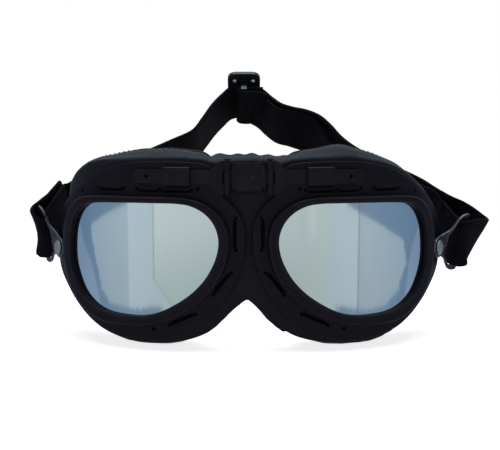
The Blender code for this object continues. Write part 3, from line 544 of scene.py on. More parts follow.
PAINT = make_paint()
VINYL = make_vinyl()
MIRROR = make_mirror()
STEEL = make_steel("blackened_steel_hinge", base=(0.0125, 0.0105, 0.0150), roughness=0.36,
                   worn_colour=(0.060, 0.060, 0.068), worn=0.5, radius=0.0004)
CLIP = make_steel("worn_steel_clip", base=(0.050, 0.050, 0.058), roughness=0.31,
                  worn_colour=(0.60, 0.64, 0.68), worn=1.1, radius=0.0006)
RIVET = make_steel("rivet_steel_grey", base=(0.27, 0.285, 0.29), roughness=0.36,
                   worn_colour=(0.52, 0.55, 0.56), worn=0.6, radius=0.0005)
EYELET = make_steel("bridge_eyelet_steel", base=(0.016, 0.015, 0.018), roughness=0.25,
                    worn_colour=(0.16, 0.16, 0.17), worn=0.8, radius=0.0004)
WEB = make_webbing()
GLOSS = make_plain("slider_gloss_black", base=(0.0064, 0.0072, 0.0092), roughness=0.12,
                   specular=0.32, grain=300.0, depth=0.05, coat=0.12)
RUBBER = make_plain("lens_seal_rubber_black", base=(0.006, 0.006, 0.006), roughness=0.72,
                    specular=0.15, grain=900.0, depth=0.25)
FLEECE = make_plain("pad_fleece_black", base=(0.0085, 0.0080, 0.0095), roughness=0.93,
                    specular=0.1, grain=1900.0, depth=0.9, sheen=0.08)
PIPING = make_plain("mask_binding_black", base=(0.0060, 0.0058, 0.0072), roughness=0.55,
                    specular=0.18, grain=700.0, depth=0.25)
THREAD = make_plain("mask_thread_grey", base=(0.020, 0.020, 0.024), roughness=0.75,
                    specular=0.15, grain=2500.0, depth=0.4)
SMOKE = make_plain("lens_inner_smoke", base=(0.020, 0.024, 0.028), roughness=0.12,
                   specular=0.5, grain=200.0, depth=0.02)


# ---------------------------------------------------------------- hard CAD pieces
def refine(node, name, material, body, slot, width, segments):
    """A finer stand-in for a CAD node: same faces, edges rounded by the width in mm."""
    bm = bmesh.new()
    bm.from_mesh(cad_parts[node].data)
    bmesh.ops.remove_doubles(bm, verts=bm.verts, dist=2e-6)
    bmesh.ops.dissolve_limit(bm, angle_limit=math.radians(1.5), verts=bm.verts, edges=bm.edges)
    sharp = [edge for edge in bm.edges
             if len(edge.link_faces) == 2 and edge.calc_face_angle(0.0) > math.radians(32.0)]
    bmesh.ops.bevel(bm, geom=sharp, offset=width * MM, offset_type="OFFSET", segments=segments,
                    profile=0.6, affect="EDGES", clamp_overlap=True)
    bmesh.ops.triangulate(bm, faces=[face for face in bm.faces if len(face.verts) > 4])
    bmesh.ops.recalc_face_normals(bm, faces=bm.faces)
    mesh = bpy.data.meshes.new(name)
    bm.to_mesh(mesh)
    bm.free()
    mesh.materials.append(material)
    mesh.polygons.foreach_set("use_smooth", [True] * len(mesh.polygons))
    mesh.set_sharp_from_angle(angle=math.radians(28))
    return place_piece(link_mesh(name, mesh), body, slot, node)


def bridge_lip():
    """The folded lower edge of the bridge plate."""
    half_width, end_round, stations = 6.7, 0.5, 29
    section = [(-6.85, 0.05), (-6.85, -0.28), (-6.55, -0.62), (-6.1, -0.72), (-5.5, -0.70),
               (-4.9, -0.58), (-4.5, -0.36), (-4.3, -0.05), (-4.3, 0.3), (-6.5, 0.3)]    # z, y
    points = []
    for i in range(stations):
        x = -half_width + 2 * half_width * i / (stations - 1)
        fullness = 0.25 + 0.75 * min(1.0, (half_width - abs(x)) / end_round)
        points += [(x, y * fullness if y < 0 else y, z) for z, y in section]
    count = len(section)
    faces = grid_faces(stations, count, wrap_rows=False)
    faces.append(tuple(range(count)))
    faces.append(tuple((stations - 1) * count + j for j in reversed(range(count))))
    place_piece(solid("bridge_plate_lip", points, faces, STEEL), "bridge", "dark_steel")


# ---------------------------------------------------------------- stamped plates and bezels
def louvres(along, z):
    """Height of the pressed vents at face points, and where shade is painted into their slots and
    holes.
    """
    height = np.zeros_like(along)
    pit = np.zeros_like(along)
    for mid_along, mid_z, length, half, slope in VENTS:
        cosine, sine = math.cos(math.radians(slope)), math.sin(math.radians(slope))
        shift, rise = along - mid_along, z - mid_z
        run, across = shift * cosine + rise * sine, -shift * sine + rise * cosine
        if -sine * (CENTRE[0] - mid_along) + cosine * (CENTRE[1] - mid_z) < 0:
            across = -across                    # positive is toward the lens
        if length < ROUND_VENT:
            distance = np.sqrt(run ** 2 + across ** 2)
            height -= 1.0 * (1 - smoothstep(0.55, 0.95, distance))
            pit = np.maximum(pit, 1 - smoothstep(0.55, 0.9, distance))
            height += 0.12 * bell(distance, 1.25, 0.35)
            continue
        ends = 1 - smoothstep(length / 2 - 1.3, length / 2 + 0.1, np.abs(run))
        hood = smoothstep(-half - 1.3, 0.25, across)
        hood = hood * (1 - smoothstep(half - 0.25, half + 0.05, across))
        gape = 1.0 if slope else 0.3            # the sloped ones stand further open
        slit = smoothstep(half - gape - 0.15, half - gape + 0.15, across)
        slit = slit * (1 - smoothstep(half + 0.45, half + 0.75, across))
        height += 0.62 * hood * ends - 1.0 * slit * ends
        # The slit and the end holes are marked for painted shade.
        pit = np.maximum(pit, slit * ends)
        for end in (-1, 1):                     # a small round hole at each end
            distance = np.hypot(run - end * (length / 2 + 0.35), across - half * 0.35)
            height -= 0.95 * (1 - smoothstep(0.5, 0.85, distance))
            pit = np.maximum(pit, 1 - smoothstep(0.5, 0.85, distance))
    return height, pit


def plate_skin(side, tag):
    """The stamped plate from under the bezel to its rolled outer edge, and its back."""
    front_rows = 64
    roll, dip, back = 0.5, 0.10, -1.2   # edge radius, fall of the front there, level of the back
    ray = rays(760)
    inner, outer = ray["open"] + 2.1, ray["plate"]
    rows, pits = [], []
    for j in range(front_rows):
        radii = inner + (outer - roll - inner) * (j / (front_rows - 1))
        height, pit = louvres(*polar(ray["angle"], radii))
        rows.append((radii, height - dip * smoothstep(2.0, 0.5, outer - radii)))
        pits.append(pit)
    edges = [0.0] * front_rows
    for degrees, wear in ((20, 0.6), (42, 0.6), (62, 0.6), (80, 0.3), (90, 0.3)):
        angle = math.radians(degrees)
        rows.append((outer - roll + roll * math.sin(angle),
                     -dip - (roll - dip) * (1 - math.cos(angle))))
        edges.append(wear)
    rows += [(outer - 0.05, -1.1), (outer - 0.3, back)]
    rows += [(inner + (outer - 0.3 - inner) * share, back) for share in (0.75, 0.5, 0.25, 0.0)]
    pits += [0.0] * (len(rows) - len(pits))
    edges += [0.0] * (len(rows) - len(edges))
    ob = ring_object("vent_plate_" + tag, rows, side, PAINT, pit=pits, edge=edges)
    place_piece(ob, "frame_" + tag, "frame_paint", "frame_plate_" + tag)


# Share of the way from lens opening to rim, offset, out, paint wear.
BEZEL = [
    (0, 0.0, 1.5, 0), (0, 0.0, 2.3, 0), (0, 0.03, 3.1, 0), (0, 0.16, 3.75, 0.3),
    (0, 0.42, 4.15, 1), (0, 0.8, 4.32, 0.5), (0.42, 0, 4.42, 0), (0.55, 0, 4.44, 0),
    (1, -1.35, 4.40, 0), (1, -0.95, 4.26, 0.5), (1, -0.62, 3.98, 1), (1, -0.36, 3.5, 0.6),
    (1, -0.2, 2.8, 0), (1, -0.1, 1.9, 0), (1, -0.04, 0.9, 0), (1, 0.0, 0.15, 0),
    (0, 1.9, 0.15, 0), (0, 1.9, 1.5, 0)]


def rim_skin(side, tag):
    """The raised bezel round the lens."""
    ray = rays(512)
    width = ray["rim"] - ray["open"]
    rows = [(ray["open"] + share * width + offset, out) for share, offset, out, _ in BEZEL]
    ob = ring_object("lens_bezel_" + tag, rows, side, PAINT, pit=[0.0] * len(rows),
                     edge=[wear for *_, wear in BEZEL])
    place_piece(ob, "frame_" + tag, "frame_paint", "lens_rim_" + tag)


# ---------------------------------------------------------------- lenses
def crown(along, z):
    """How far the front of the lens stands out of the face."""
    return 1.2 + 0.5 * (1 - ((along - 54.0) / 46.0) ** 2 * 0.85 - (z / 31.0) ** 2 * 0.4)


def lens_skin(side, tag):
    """The lens: 46 mirror rows in front, three smoke rows behind, a centre point on each."""
    count, front_rows, back_out = 256, 46, -0.4
    ray = rays(count)
    edge = ray["open"] + 1.35

    def disc(shares):
        along, z = polar(np.tile(ray["angle"], len(shares)),
                         np.concatenate([edge * share for share in shares]))
        return np.append(along, CENTRE[0]), np.append(z, CENTRE[1])

    along, z = disc(np.linspace(1.0, 0.0, front_rows + 1)[:-1])
    front = on_face(along, z, crown(along, z), side)
    back = on_face(*disc((1.0, 0.66, 0.33)), back_out, side)
    vertices = np.concatenate([front[:-1], back[:-1], front[-1:], back[-1:]])

    def band(first, second):
        ring = [(i, (i + 1) % count) for i in range(count)]
        return [(first * count + i, first * count + j, second * count + j, second * count + i)
                for i, j in ring]

    def fan(row, tip):
        return [(row * count + i, row * count + (i + 1) % count, tip) for i in range(count)]

    faces = []
    for i in range(front_rows - 1):
        faces += band(i, i + 1)
    faces += fan(front_rows - 1, len(vertices) - 2)
    front_faces = len(faces)
    faces += band(0, front_rows)
    for i in (front_rows, front_rows + 1):
        faces += band(i, i + 1)
    faces += fan(front_rows + 2, len(vertices) - 1)
    ob = solid("mirror_lens_" + tag, vertices, faces, MIRROR)
    mesh = ob.data
    mesh.materials.append(SMOKE)
    mesh.polygons.foreach_set("material_index",
                              [int(i >= front_faces) for i in range(len(mesh.polygons))])

    # Front normals straight from the curved surface, so that reflections run clean across it.
    step = 0.02

    def surface(shift, rise):
        return on_face(along + shift, z + rise, crown(along + shift, z + rise), side)

    normals = np.cross(surface(step, 0.0) - surface(-step, 0.0),
                       surface(0.0, step) - surface(0.0, -step))
    normals /= np.linalg.norm(normals, axis=1)[:, None]
    normals[normals[:, 1] > 0] *= -1
    table = np.zeros((len(vertices), 3))
    table[:front_rows * count] = normals[:-1]
    table[-2] = normals[-1]
    mesh.normals_split_custom_set([
        tuple(table[mesh.loops[i].vertex_index]) if face.index < front_faces else (0.0, 0.0, 0.0)
        for face in mesh.polygons for i in face.loop_indices])
    place_piece(ob, "frame_" + tag, "mirror_lens", "lens_" + tag)


def rubber_and_retainer(side, tag):
    """The rubber ring behind the lens and the steel ring behind that."""
    rings = (       # name, material, slot, node, profile of (distance beyond the opening, out)
        ("lens_gasket_", RUBBER, "seal_rubber", "lens_seal_",
         [(0.2, -0.7), (0.35, -0.56), (0.9, -0.55), (1.45, -0.56), (1.6, -0.7),
          (1.6, -1.2), (1.45, -1.34), (0.9, -1.35), (0.35, -1.34), (0.2, -1.2)]),
        ("retainer_ring_", STEEL, "dark_steel", "lens_retainer_",
         [(0.2, -1.75), (0.45, -1.52), (1.8, -1.5), (3.1, -1.52), (3.4, -1.75),
          (3.4, -2.4), (3.2, -2.58), (1.8, -2.6), (0.45, -2.58), (0.2, -2.35)]))
    opening = rays(256)["open"]
    for name, material, slot, node, profile in rings:
        rows = [(opening + offset, out) for offset, out in profile]
        ob = ring_object(name + tag, rows, side, material)
        place_piece(ob, "frame_" + tag, slot, node + tag)


# ---------------------------------------------------------------- the soft mask
# One skin covers both eyes and the nose, and is then cut into pieces.
WALL_OUT, WALL_DEPTH = -4.4, 13.0       # where the mask wall starts, and how far back it runs
STITCH_OUT = -15.4
STITCH_RADIUS = 0.22
VOXEL_SIZE, SMOOTH_ROUNDS = 0.95, 14
SADDLE_CUT, BROW_CUT = 10.2, 18.5       # where the skin is cut, distance from x = 0


def wall_radius(ray, share):
    """Outer surface of the mask wall, share 0 at the front and 1 at the rear."""
    front, rear = ray["mask_front"], ray["mask_rear"]
    return front + (rear - front) * share + 0.9 * math.sin(math.pi * share)


def mask_ring(side):
    ray = rays(300)
    front, rear, inner = ray["mask_front"], ray["mask_rear"], ray["open"] + 0.5
    lining = np.maximum(front - 2.3, inner + 0.25)
    rows = [(inner, -2.85), (inner * 0.5 + front * 0.5, -2.8), (front - 1.5, -2.8),
            (front - 0.7, -3.0), (front - 0.15, -3.5), (front + 0.1, WALL_OUT)]
    rows += [(wall_radius(ray, share), WALL_OUT - WALL_DEPTH * share)
             for share in np.linspace(0.08, 0.96, 9)]
    rows += [(rear + 0.1, -17.8), (rear - 0.5, -18.5), (rear - 1.3, -18.6), (rear - 2.4, -18.2)]
    rows += [(lining + (rear - 2.5 - lining) * share, -5.4 - 12.2 * share)
             for share in np.linspace(0.95, 0.1, 6)]
    rows += [(lining, -5.0), (inner * 0.5 + lining * 0.5, -4.9), (inner, -4.85)]
    points = ring_points(rows, side)
    return points.reshape(-1, 3), grid_faces(len(points), len(rows))


def saddle():
    """Thick sheet over the nose: arched lower edge, front, roof that runs back to the brow."""
    half_width, half_thickness = 17.5, 1.15
    centre = []
    for x in np.linspace(-half_width, half_width, 36):
        low = (-58.1 - 0.88 * (math.sqrt((x + 0.8) ** 2 + 2.2 ** 2) - 2.2)
               - 1.2 * bell(x, 10.0, 6.0))
        front = 4.35 + 0.085 * math.sqrt(x * x + 9.0)
        top = 8.2 - 0.006 * x * x
        path = [(front + 8.5, low + 2.6), (front + 4.0, low + 1.2), (front + 1.3, low + 0.6),
                (front + 0.35, low + 1.6), (front, low + 4.0)]
        path += [(front, low + 4.0 + (top - low - 6.0) * share)
                 for share in np.linspace(0.12, 0.92, 16)]
        path += [(front + 0.1, top - 1.4), (front + 0.8, top - 0.4), (front + 2.0, top + 0.1),
                 (front + 6.0, top + 0.7), (front + 10.0, top + 1.4), (front + 13.6, top + 2.0)]
        centre.append([(x, y, z) for y, z in path])
    centre = np.array(centre)
    normals = np.cross(np.gradient(centre, axis=0), np.gradient(centre, axis=1))
    normals /= np.linalg.norm(normals, axis=2)[:, :, None]
    columns, rows = centre.shape[:2]
    offset = normals * half_thickness
    vertices = np.concatenate([(centre + offset).reshape(-1, 3), (centre - offset).reshape(-1, 3)])
    under, last = columns * rows, (columns - 1) * rows
    faces = []
    for q in grid_faces(columns, rows, wrap_rows=False, wrap_columns=False):
        faces += [q, tuple(under + i for i in reversed(q))]
    for j in range(rows - 1):
        faces.append((j, j + 1, under + j + 1, under + j))
        faces.append((last + j + 1, last + j, under + last + j, under + last + j + 1))
    for i in range(0, last, rows):
        following, end, next_end = i + rows, i + rows - 1, i + 2 * rows - 1
        faces.append((following, i, under + i, under + following))
        faces.append((end, next_end, under + next_end, under + end))
    return vertices, faces


def voxel_skin(parts):
    """Fuse the parts into one skin; returns its points in millimetres and its faces."""
    vertices, faces, base = [], [], 0
    for part_vertices, part_faces in parts:
        vertices.append(part_vertices)
        faces += [tuple(i + base for i in face) for face in part_faces]
        base += len(part_vertices)
    ob = solid("blank", np.concatenate(vertices), faces, VINYL)
    remesh = ob.modifiers.new("skin", "REMESH")
    remesh.mode = "VOXEL"
    remesh.voxel_size = VOXEL_SIZE * MM
    bpy.context.view_layer.update()
    depsgraph = bpy.context.evaluated_depsgraph_get()
    mesh = bpy.data.meshes.new_from_object(ob.evaluated_get(depsgraph))
    bpy.data.objects.remove(ob, do_unlink=True)
    count = len(mesh.vertices)
    points = np.zeros(count * 3)
    mesh.vertices.foreach_get("co", points)
    points = points.reshape(-1, 3) / MM
    edges = np.zeros(len(mesh.edges) * 2, np.int64)
    mesh.edges.foreach_get("vertices", edges)
    edges = edges.reshape(-1, 2)
    neighbours = np.bincount(edges.ravel(), minlength=count).astype(float)[:, None]
    for i in range(SMOOTH_ROUNDS):
        for amount in (0.55, -0.50):            # smooths without shrinking
            total = np.zeros_like(points)
            np.add.at(total, edges[:, 0], points[edges[:, 1]])
            np.add.at(total, edges[:, 1], points[edges[:, 0]])
            points = points + amount * (total / neighbours - points)
    polygons = [tuple(face.vertices) for face in mesh.polygons]
    bpy.data.meshes.remove(mesh)
    return points, polygons


def vertex_normals(points, polygons):
    triangles = np.array([(face[0], face[i], face[i + 1])
                          for face in polygons for i in range(1, len(face) - 1)])
    first, second, third = (points[triangles[:, i]] for i in range(3))
    face_normals = np.cross(second - first, third - first)
    normals = np.zeros_like(points)
    for i in range(3):
        np.add.at(normals, triangles[:, i], face_normals)
    return normals / np.maximum(np.linalg.norm(normals, axis=1), 1e-12)[:, None]


def settle(points):
    """The set of the soft mask: fuller at the right temple, a small hump over the left brow."""
    x, y, z = points.T
    points = points.copy()
    points[:, 2] += 2.0 * bell(x, 44.0, 8.0) * smoothstep(6, 17, y) * smoothstep(5, 10, z)
    full = 5.0 * bell(x, -79.5, 14.0) * smoothstep(-17.0, -6.0, z) * smoothstep(6, 13, y)
    points[:, 0] -= 0.6 * full
    points[:, 2] += 0.8 * full
    low = smoothstep(-52.0, -58.0, z) * bell(np.abs(x), 17.0, 11.0)
    points[:, 2] -= low * np.where(x > 0, 2.0, 1.6) * smoothstep(1.5, 6.0, y)
    return points


def shape_mask():
    """The whole skin with its folds, swells and pleats."""
    points, polygons = voxel_skin([mask_ring(-1), mask_ring(1), saddle()])
    normals = vertex_normals(points, polygons)
    x, y, z = points.T                          # views: they follow the changes to points
    back = smoothstep(5.0, 17.0, y)             # 0 at the frames, 1 at the face
    roof = smoothstep(2.0, 8.0, z) * smoothstep(48, 30, np.abs(x))
    # gathered brow over the nose: folds that run front to back, deeper toward the face
    fold = np.sin(x * 0.78 + 0.6 * np.sin(x * 0.21)) * 0.5 + np.sin(x * 0.37 + 1.3) * 0.5
    lift = roof * smoothstep(34, 12, np.abs(x)) * (0.25 + 0.75 * back) * fold * 0.85
    lift += -0.9 * bell(x, 0.0, 7.0) * roof * back
    points[:, 2] += lift
    # the lower wall swells away from each eye centre
    away = np.stack([np.abs(x) - CENTRE[0], np.zeros_like(x), z - LENS_Z], -1)
    away /= np.maximum(np.linalg.norm(away, axis=1), 1.0)[:, None]
    away[:, 0] *= np.sign(x)
    flank = smoothstep(46.0, 64.0, np.abs(x)) * np.where(x > 0, 1.45, 0.85)
    swell = flank * smoothstep(-14.0, -36.0, z)
    swell += 0.35 * smoothstep(-46.0, -60.0, z) * smoothstep(64.0, 46.0, np.abs(x))
    points += away * (swell * smoothstep(3.5, 7.0, y))[:, None]
    settled = settle(points)
    soft = lumps(settled, 0.055, 3.1) * 0.55 + lumps(settled, 0.16, 7.7) * 0.22
    behind = smoothstep(3.6, 7.5, y - 0.004 * x * x)    # leaves the flange under the plates
    wall = smoothstep(0.2, 0.75, np.abs(normals[:, 2]) + 0.35 * np.abs(normals[:, 0]))
    settled += normals * (soft * behind * wall)[:, None]
    # short pleats where the skin turns round the lower temple
    angle = np.arctan2(z - LENS_Z, np.abs(x) - CENTRE[0])
    pleat = np.sin(angle * 46.0) * smoothstep(8.0, 16.0, y) * bell(angle, -0.75, 0.5)
    settled += normals * (pleat * 0.22)[:, None]
    return settled, polygons


def build_mask():
    """Cut the skin at x planes; the cut pieces keep the normals of the whole."""
    points, polygons = shape_mask()
    whole = bpy.data.meshes.new("mask_whole")
    whole.from_pydata([tuple(p) for p in points * MM], [], polygons)
    normals = vertex_normals(points, polygons)
    for i, key in enumerate(("nx", "ny", "nz")):
        attribute = whole.attributes.new(key, "FLOAT", "POINT")
        attribute.data.foreach_set("value", normals[:, i].astype(np.float32))
    brow, middle = (18.2, 10.5), (9.9, 2.5)     # distances from x = 0 where the spans start and end
    pieces = [      # name, from x, to x, body or bodies, blend, nodes
        ("mask_skin_right", None, -BROW_CUT, "frame_right", None, ("mask_shell_right",)),
        ("mask_brow_right", -BROW_CUT, -SADDLE_CUT, ("frame_right", "leaf_right"), brow, ()),
        ("mask_saddle_right", -SADDLE_CUT, 0.0, ("leaf_right", "bridge"), middle,
         ("mask_nose_bridge",)),
        ("mask_saddle_left", 0.0, SADDLE_CUT, ("leaf_left", "bridge"), middle, ()),
        ("mask_brow_left", SADDLE_CUT, BROW_CUT, ("frame_left", "leaf_left"), brow, ()),
        ("mask_skin_left", BROW_CUT, None, "frame_left", None, ("mask_shell_left",))]
    for name, low, high, body, blend, nodes in pieces:
        bm = bmesh.new()
        bm.from_mesh(whole)
        for at, sign in ((low, -1), (high, 1)):
            if at is not None:
                bmesh.ops.bisect_plane(
                    bm, geom=list(bm.verts) + list(bm.edges) + list(bm.faces), dist=1e-8,
                    plane_co=(at * MM, 0, 0), plane_no=(sign, 0, 0), clear_outer=True)
        mesh = bpy.data.meshes.new(name)
        bm.to_mesh(mesh)
        bm.free()
        mesh.materials.append(VINYL)
        kept = np.zeros((len(mesh.vertices), 3), np.float32)
        for i, key in enumerate(("nx", "ny", "nz")):
            column = np.zeros(len(mesh.vertices), np.float32)
            mesh.attributes[key].data.foreach_get("value", column)
            kept[:, i] = column
            mesh.attributes.remove(mesh.attributes[key])
        kept /= np.maximum(np.linalg.norm(kept, axis=1), 1e-9)[:, None]
        mesh.polygons.foreach_set("use_smooth", [True] * len(mesh.polygons))
        mesh.normals_split_custom_set_from_vertices([tuple(n) for n in kept])
        side = -1 if "right" in name else 1
        span = blend and [(side * x * MM, 0.005, 0) for x in blend]
        place_piece(link_mesh(name, mesh), body, "vinyl", *nodes, span=span)
    bpy.data.meshes.remove(whole)


def add_stitch(vertices, faces, start, end, sides=6):
    """Append one stitch, a capsule with pointed ends, to the lists."""
    start, span = np.asarray(start, float), np.asarray(end, float) - start
    length = np.linalg.norm(span)
    span /= length
    upright = VERTICAL if abs(span[2]) < 0.8 else np.array([1.0, 0, 0])
    first = unit(np.cross(span, upright))
    second = np.cross(span, first)
    base = len(vertices)
    vertices.append(start)
    for share, fullness in ((0.06, 0.62), (0.22, 0.95), (0.5, 1.0), (0.78, 0.95), (0.94, 0.62)):
        middle = start + span * length * share
        for i in range(sides):
            angle = 2 * math.pi * i / sides
            vertices.append(middle + (first * math.cos(angle) + second * math.sin(angle))
                            * STITCH_RADIUS * fullness)
    vertices.append(start + span * length)
    rings = [base + 1 + sides * i for i in range(5)]
    for i in range(sides):
        j = (i + 1) % sides
        faces.append((base, rings[0] + j, rings[0] + i))
        for ring, after in zip(rings, rings[1:]):
            faces.append((ring + i, ring + j, after + j, after + i))
        faces.append((rings[-1] + i, rings[-1] + j, len(vertices) - 1))


def rear_trim(side, tag):
    """The bound rear edge of the mask, and a row of stitches on the outside of its wall."""
    count, section = 420, 12
    rear = rays(count)["mask_rear"]
    wobble = 0.10 * np.sin(np.arange(count) * 0.35)
    rows = []
    for q in range(section):
        angle = 2 * math.pi * q / section
        rows.append((rear - 0.55 + (1.0 + wobble) * math.cos(angle),
                     -18.0 + (0.95 + wobble) * math.sin(angle)))
    ob = solid("mask_binding_" + tag, settle(ring_points(rows, side).reshape(-1, 3)),
               grid_faces(count, section), PIPING)
    place_piece(ob, "frame_" + tag, "vinyl")

    stitches = 118
    radii = wall_radius(rays(stitches * 2), (WALL_OUT - STITCH_OUT) / WALL_DEPTH) + 0.25
    vertices, faces = [], []
    for start, end in ring_points([(radii, STITCH_OUT)], side).reshape(-1, 2, 3):
        span = end - start
        end = start + (span * 0.72 if np.linalg.norm(span) < 3 else unit(span) * 1.6)
        add_stitch(vertices, faces, start, end)
    ob = new_object("mask_stitches_" + tag, settle(np.array(vertices)), faces, THREAD)
    place_piece(ob, "frame_" + tag, "vinyl")


def face_pad(side, tag):
    """The fleece cushion that touches the face, a soft square section with puffs."""
    count, section = 360, 28
    half_width, half_depth, corner = 3.55, 3.1, 2.6     # corner: superellipse power
    centre = rays(count)["mask_rear"] - 4.2
    share = np.arange(count) / count
    wave = np.sin(share * 2 * math.pi * 17 + 0.6 * np.sin(share * 2 * math.pi * 5))
    rows = []
    for j in range(section):
        angle = 2 * math.pi * j / section
        cosine, sine = math.cos(angle), math.sin(angle)
        square = (abs(cosine) ** corner + abs(sine) ** corner) ** (-1 / corner)
        puff = 1.0 + 0.05 * wave * max(0.0, -sine)
        rows.append((centre + half_width * cosine * square * puff,
                     -21.25 + half_depth * sine * square * puff))
    points = ring_points(rows, side)
    away = (points - points.mean(axis=1)[:, None, :]).reshape(-1, 3)
    away /= np.linalg.norm(away, axis=1)[:, None]
    flat = points.reshape(-1, 3)
    lump = lumps(flat, 0.12, 11.0) * 0.32 + lumps(flat, 0.42, 5.0) * 0.12
    ob = solid("face_cushion_" + tag, settle(flat + away * lump[:, None]),
               grid_faces(count, section), FLEECE)
    place_piece(ob, "frame_" + tag, "pad_fabric", "face_pad_" + tag)


# ---------------------------------------------------------------- strap clips and rivets
CLIP_SWIVEL = {-1: 19.0, 1: 7.0}        # degrees round the rivet, per side
CLIP_BEND = {-1: 13.0, 1: 31.0}         # degrees the sheet bends away from the frame
CLIP_LEAN = {-1: (0.07, 0.32, 0.945), 1: (0.16, 0.30, 0.94)}    # width axis past the bend
CLIP_TIP = {-1: 17.1, 1: 18.2}
CLIP_REACH = 2.5                        # extra length let in at the bend
BEND_START, BEND_LENGTH = 4.0, 5.0
CLIP_BOTTOM, CLIP_TOP, CLIP_ROUND = 1.15, 2.35, 0.34
CLIP_CENTRE = (12.0, 0.0)
CLIP_BAR = 14.0                         # distance from the rivet to the bar


def rivet_frame(side):
    """Origin, outward normal and rearward tangent at the temple rivet."""
    angle = float(turn(RIVET_ALONG))
    origin = on_face(RIVET_ALONG, 0.0, 0.0, side)
    normal = np.array([side * math.sin(angle), -math.cos(angle), 0.0])
    tangent = np.array([side * math.cos(angle), math.sin(angle), 0.0])
    return origin, normal, tangent


def clip_place(side):
    """Function from (length from the rivet, across, lift) on the bent clip to the world."""
    origin, normal, tangent = rivet_frame(side)
    swivel, bend = math.radians(CLIP_SWIVEL[side]), math.radians(CLIP_BEND[side])
    lengthwise = tangent * math.cos(swivel) + VERTICAL * math.sin(swivel)
    width = -tangent * math.sin(swivel) + VERTICAL * math.cos(swivel)
    lean = CLIP_LEAN[side]
    end_width = unit((side * lean[0], -lean[1], lean[2]))
    bend_end = BEND_START + BEND_LENGTH
    radius = BEND_LENGTH / bend

    def place(length, across, lift):
        length += CLIP_REACH * smoothstep(BEND_START, bend_end, length)
        share = smoothstep(BEND_START, BEND_START + 8.0, length)
        axis = unit(width + (end_width - width) * share)
        angle = bend * min(max((length - BEND_START) / BEND_LENGTH, 0.0), 1.0)
        ahead = lengthwise * math.cos(angle) + normal * math.sin(angle)
        beyond = max(length - bend_end, 0.0)
        run = min(length, BEND_START) + radius * math.sin(angle) + beyond * math.cos(bend)
        rise = radius * (1 - math.cos(angle)) + beyond * math.sin(bend)
        up = unit(np.cross(ahead, axis))
        if up @ normal < 0:
            up = -up
        return origin + lengthwise * run + normal * rise + axis * across + up * lift
    return place


def mirrored(points):
    return [(x, -y) for x, y in points[::-1]]


def clip_outlines(side):
    """Outer edge and window of the flat clip, as (length, across)."""
    head, tip = 5.2, CLIP_TIP[side]
    angles = [math.pi / 2 + math.pi * i / 24 for i in range(24)]
    arc = [(head * math.cos(angle), head * math.sin(angle)) for angle in angles]
    flank = smooth_curve(
        [(0.0, -head), (3.5, -5.3), (5.8, -5.9), (7.8, -8.0), (9.8, -11.4), (11.6, -14.0),
         (13.3, -15.4), (15.3, -16.1), (tip - 0.7, -16.0), (tip, -14.2)], 10, closed=False)
    outer = arc + [tuple(q) for q in flank] + mirrored(flank)[:-1]
    shoulder = smooth_curve(
        [(8.0, -5.4), (8.7, -6.9), (10.6, -10.3), (12.1, -12.1), (13.2, -12.7), (14.3, -12.75),
         (15.0, -12.4)], 8, closed=False)
    window = [tuple(q) for q in shoulder] + [(15.0, y) for y in np.linspace(-12, 12, 13)]
    window += mirrored(shoulder) + [(7.95, y) for y in np.linspace(5.6, -5.6, 9)]
    return np.array(outer), np.array(window)


def clip_skin(side, tag):
    """The window-framed clip, with one section at every corner direction of its outlines."""
    outer, window = clip_outlines(side)
    corners = [np.arctan2(loop[:, 1], loop[:, 0] - CLIP_CENTRE[0]) for loop in (outer, window)]
    even = np.linspace(-math.pi, math.pi, 220, endpoint=False)
    angles = np.sort(np.concatenate([even, *corners]))
    angles = angles[np.concatenate([[True], np.diff(angles) > 0.004])]
    outer_reach, window_reach = (reach(loop, angles, CLIP_CENTRE) for loop in (outer, window))
    section = []        # edge (0 outer, 1 window), offset from it, lift
    quarter = [(CLIP_ROUND * (1 - math.sin(a)), CLIP_ROUND * (1 - math.cos(a)))
               for a in np.radians(22.5 * np.arange(5))]
    section += [(0, -sine, CLIP_TOP - cosine) for sine, cosine in quarter]
    section += [(0, -cosine, CLIP_BOTTOM + sine) for sine, cosine in quarter]
    section += [(1, sine, CLIP_BOTTOM + cosine) for sine, cosine in quarter]
    section += [(1, cosine, CLIP_TOP - sine) for sine, cosine in quarter]
    place = clip_place(side)
    points = []
    for angle, *edges in zip(angles, outer_reach, window_reach):
        for edge, offset, lift in section:
            radius = edges[edge] + offset
            points.append(place(CLIP_CENTRE[0] + radius * math.cos(angle),
                                CLIP_CENTRE[1] + radius * math.sin(angle), lift))
    ob = solid("clip_plate_" + tag, points, grid_faces(len(angles), len(section)), CLIP)
    place_piece(ob, "clip_" + tag, "dark_steel", "strap_clip_" + tag)


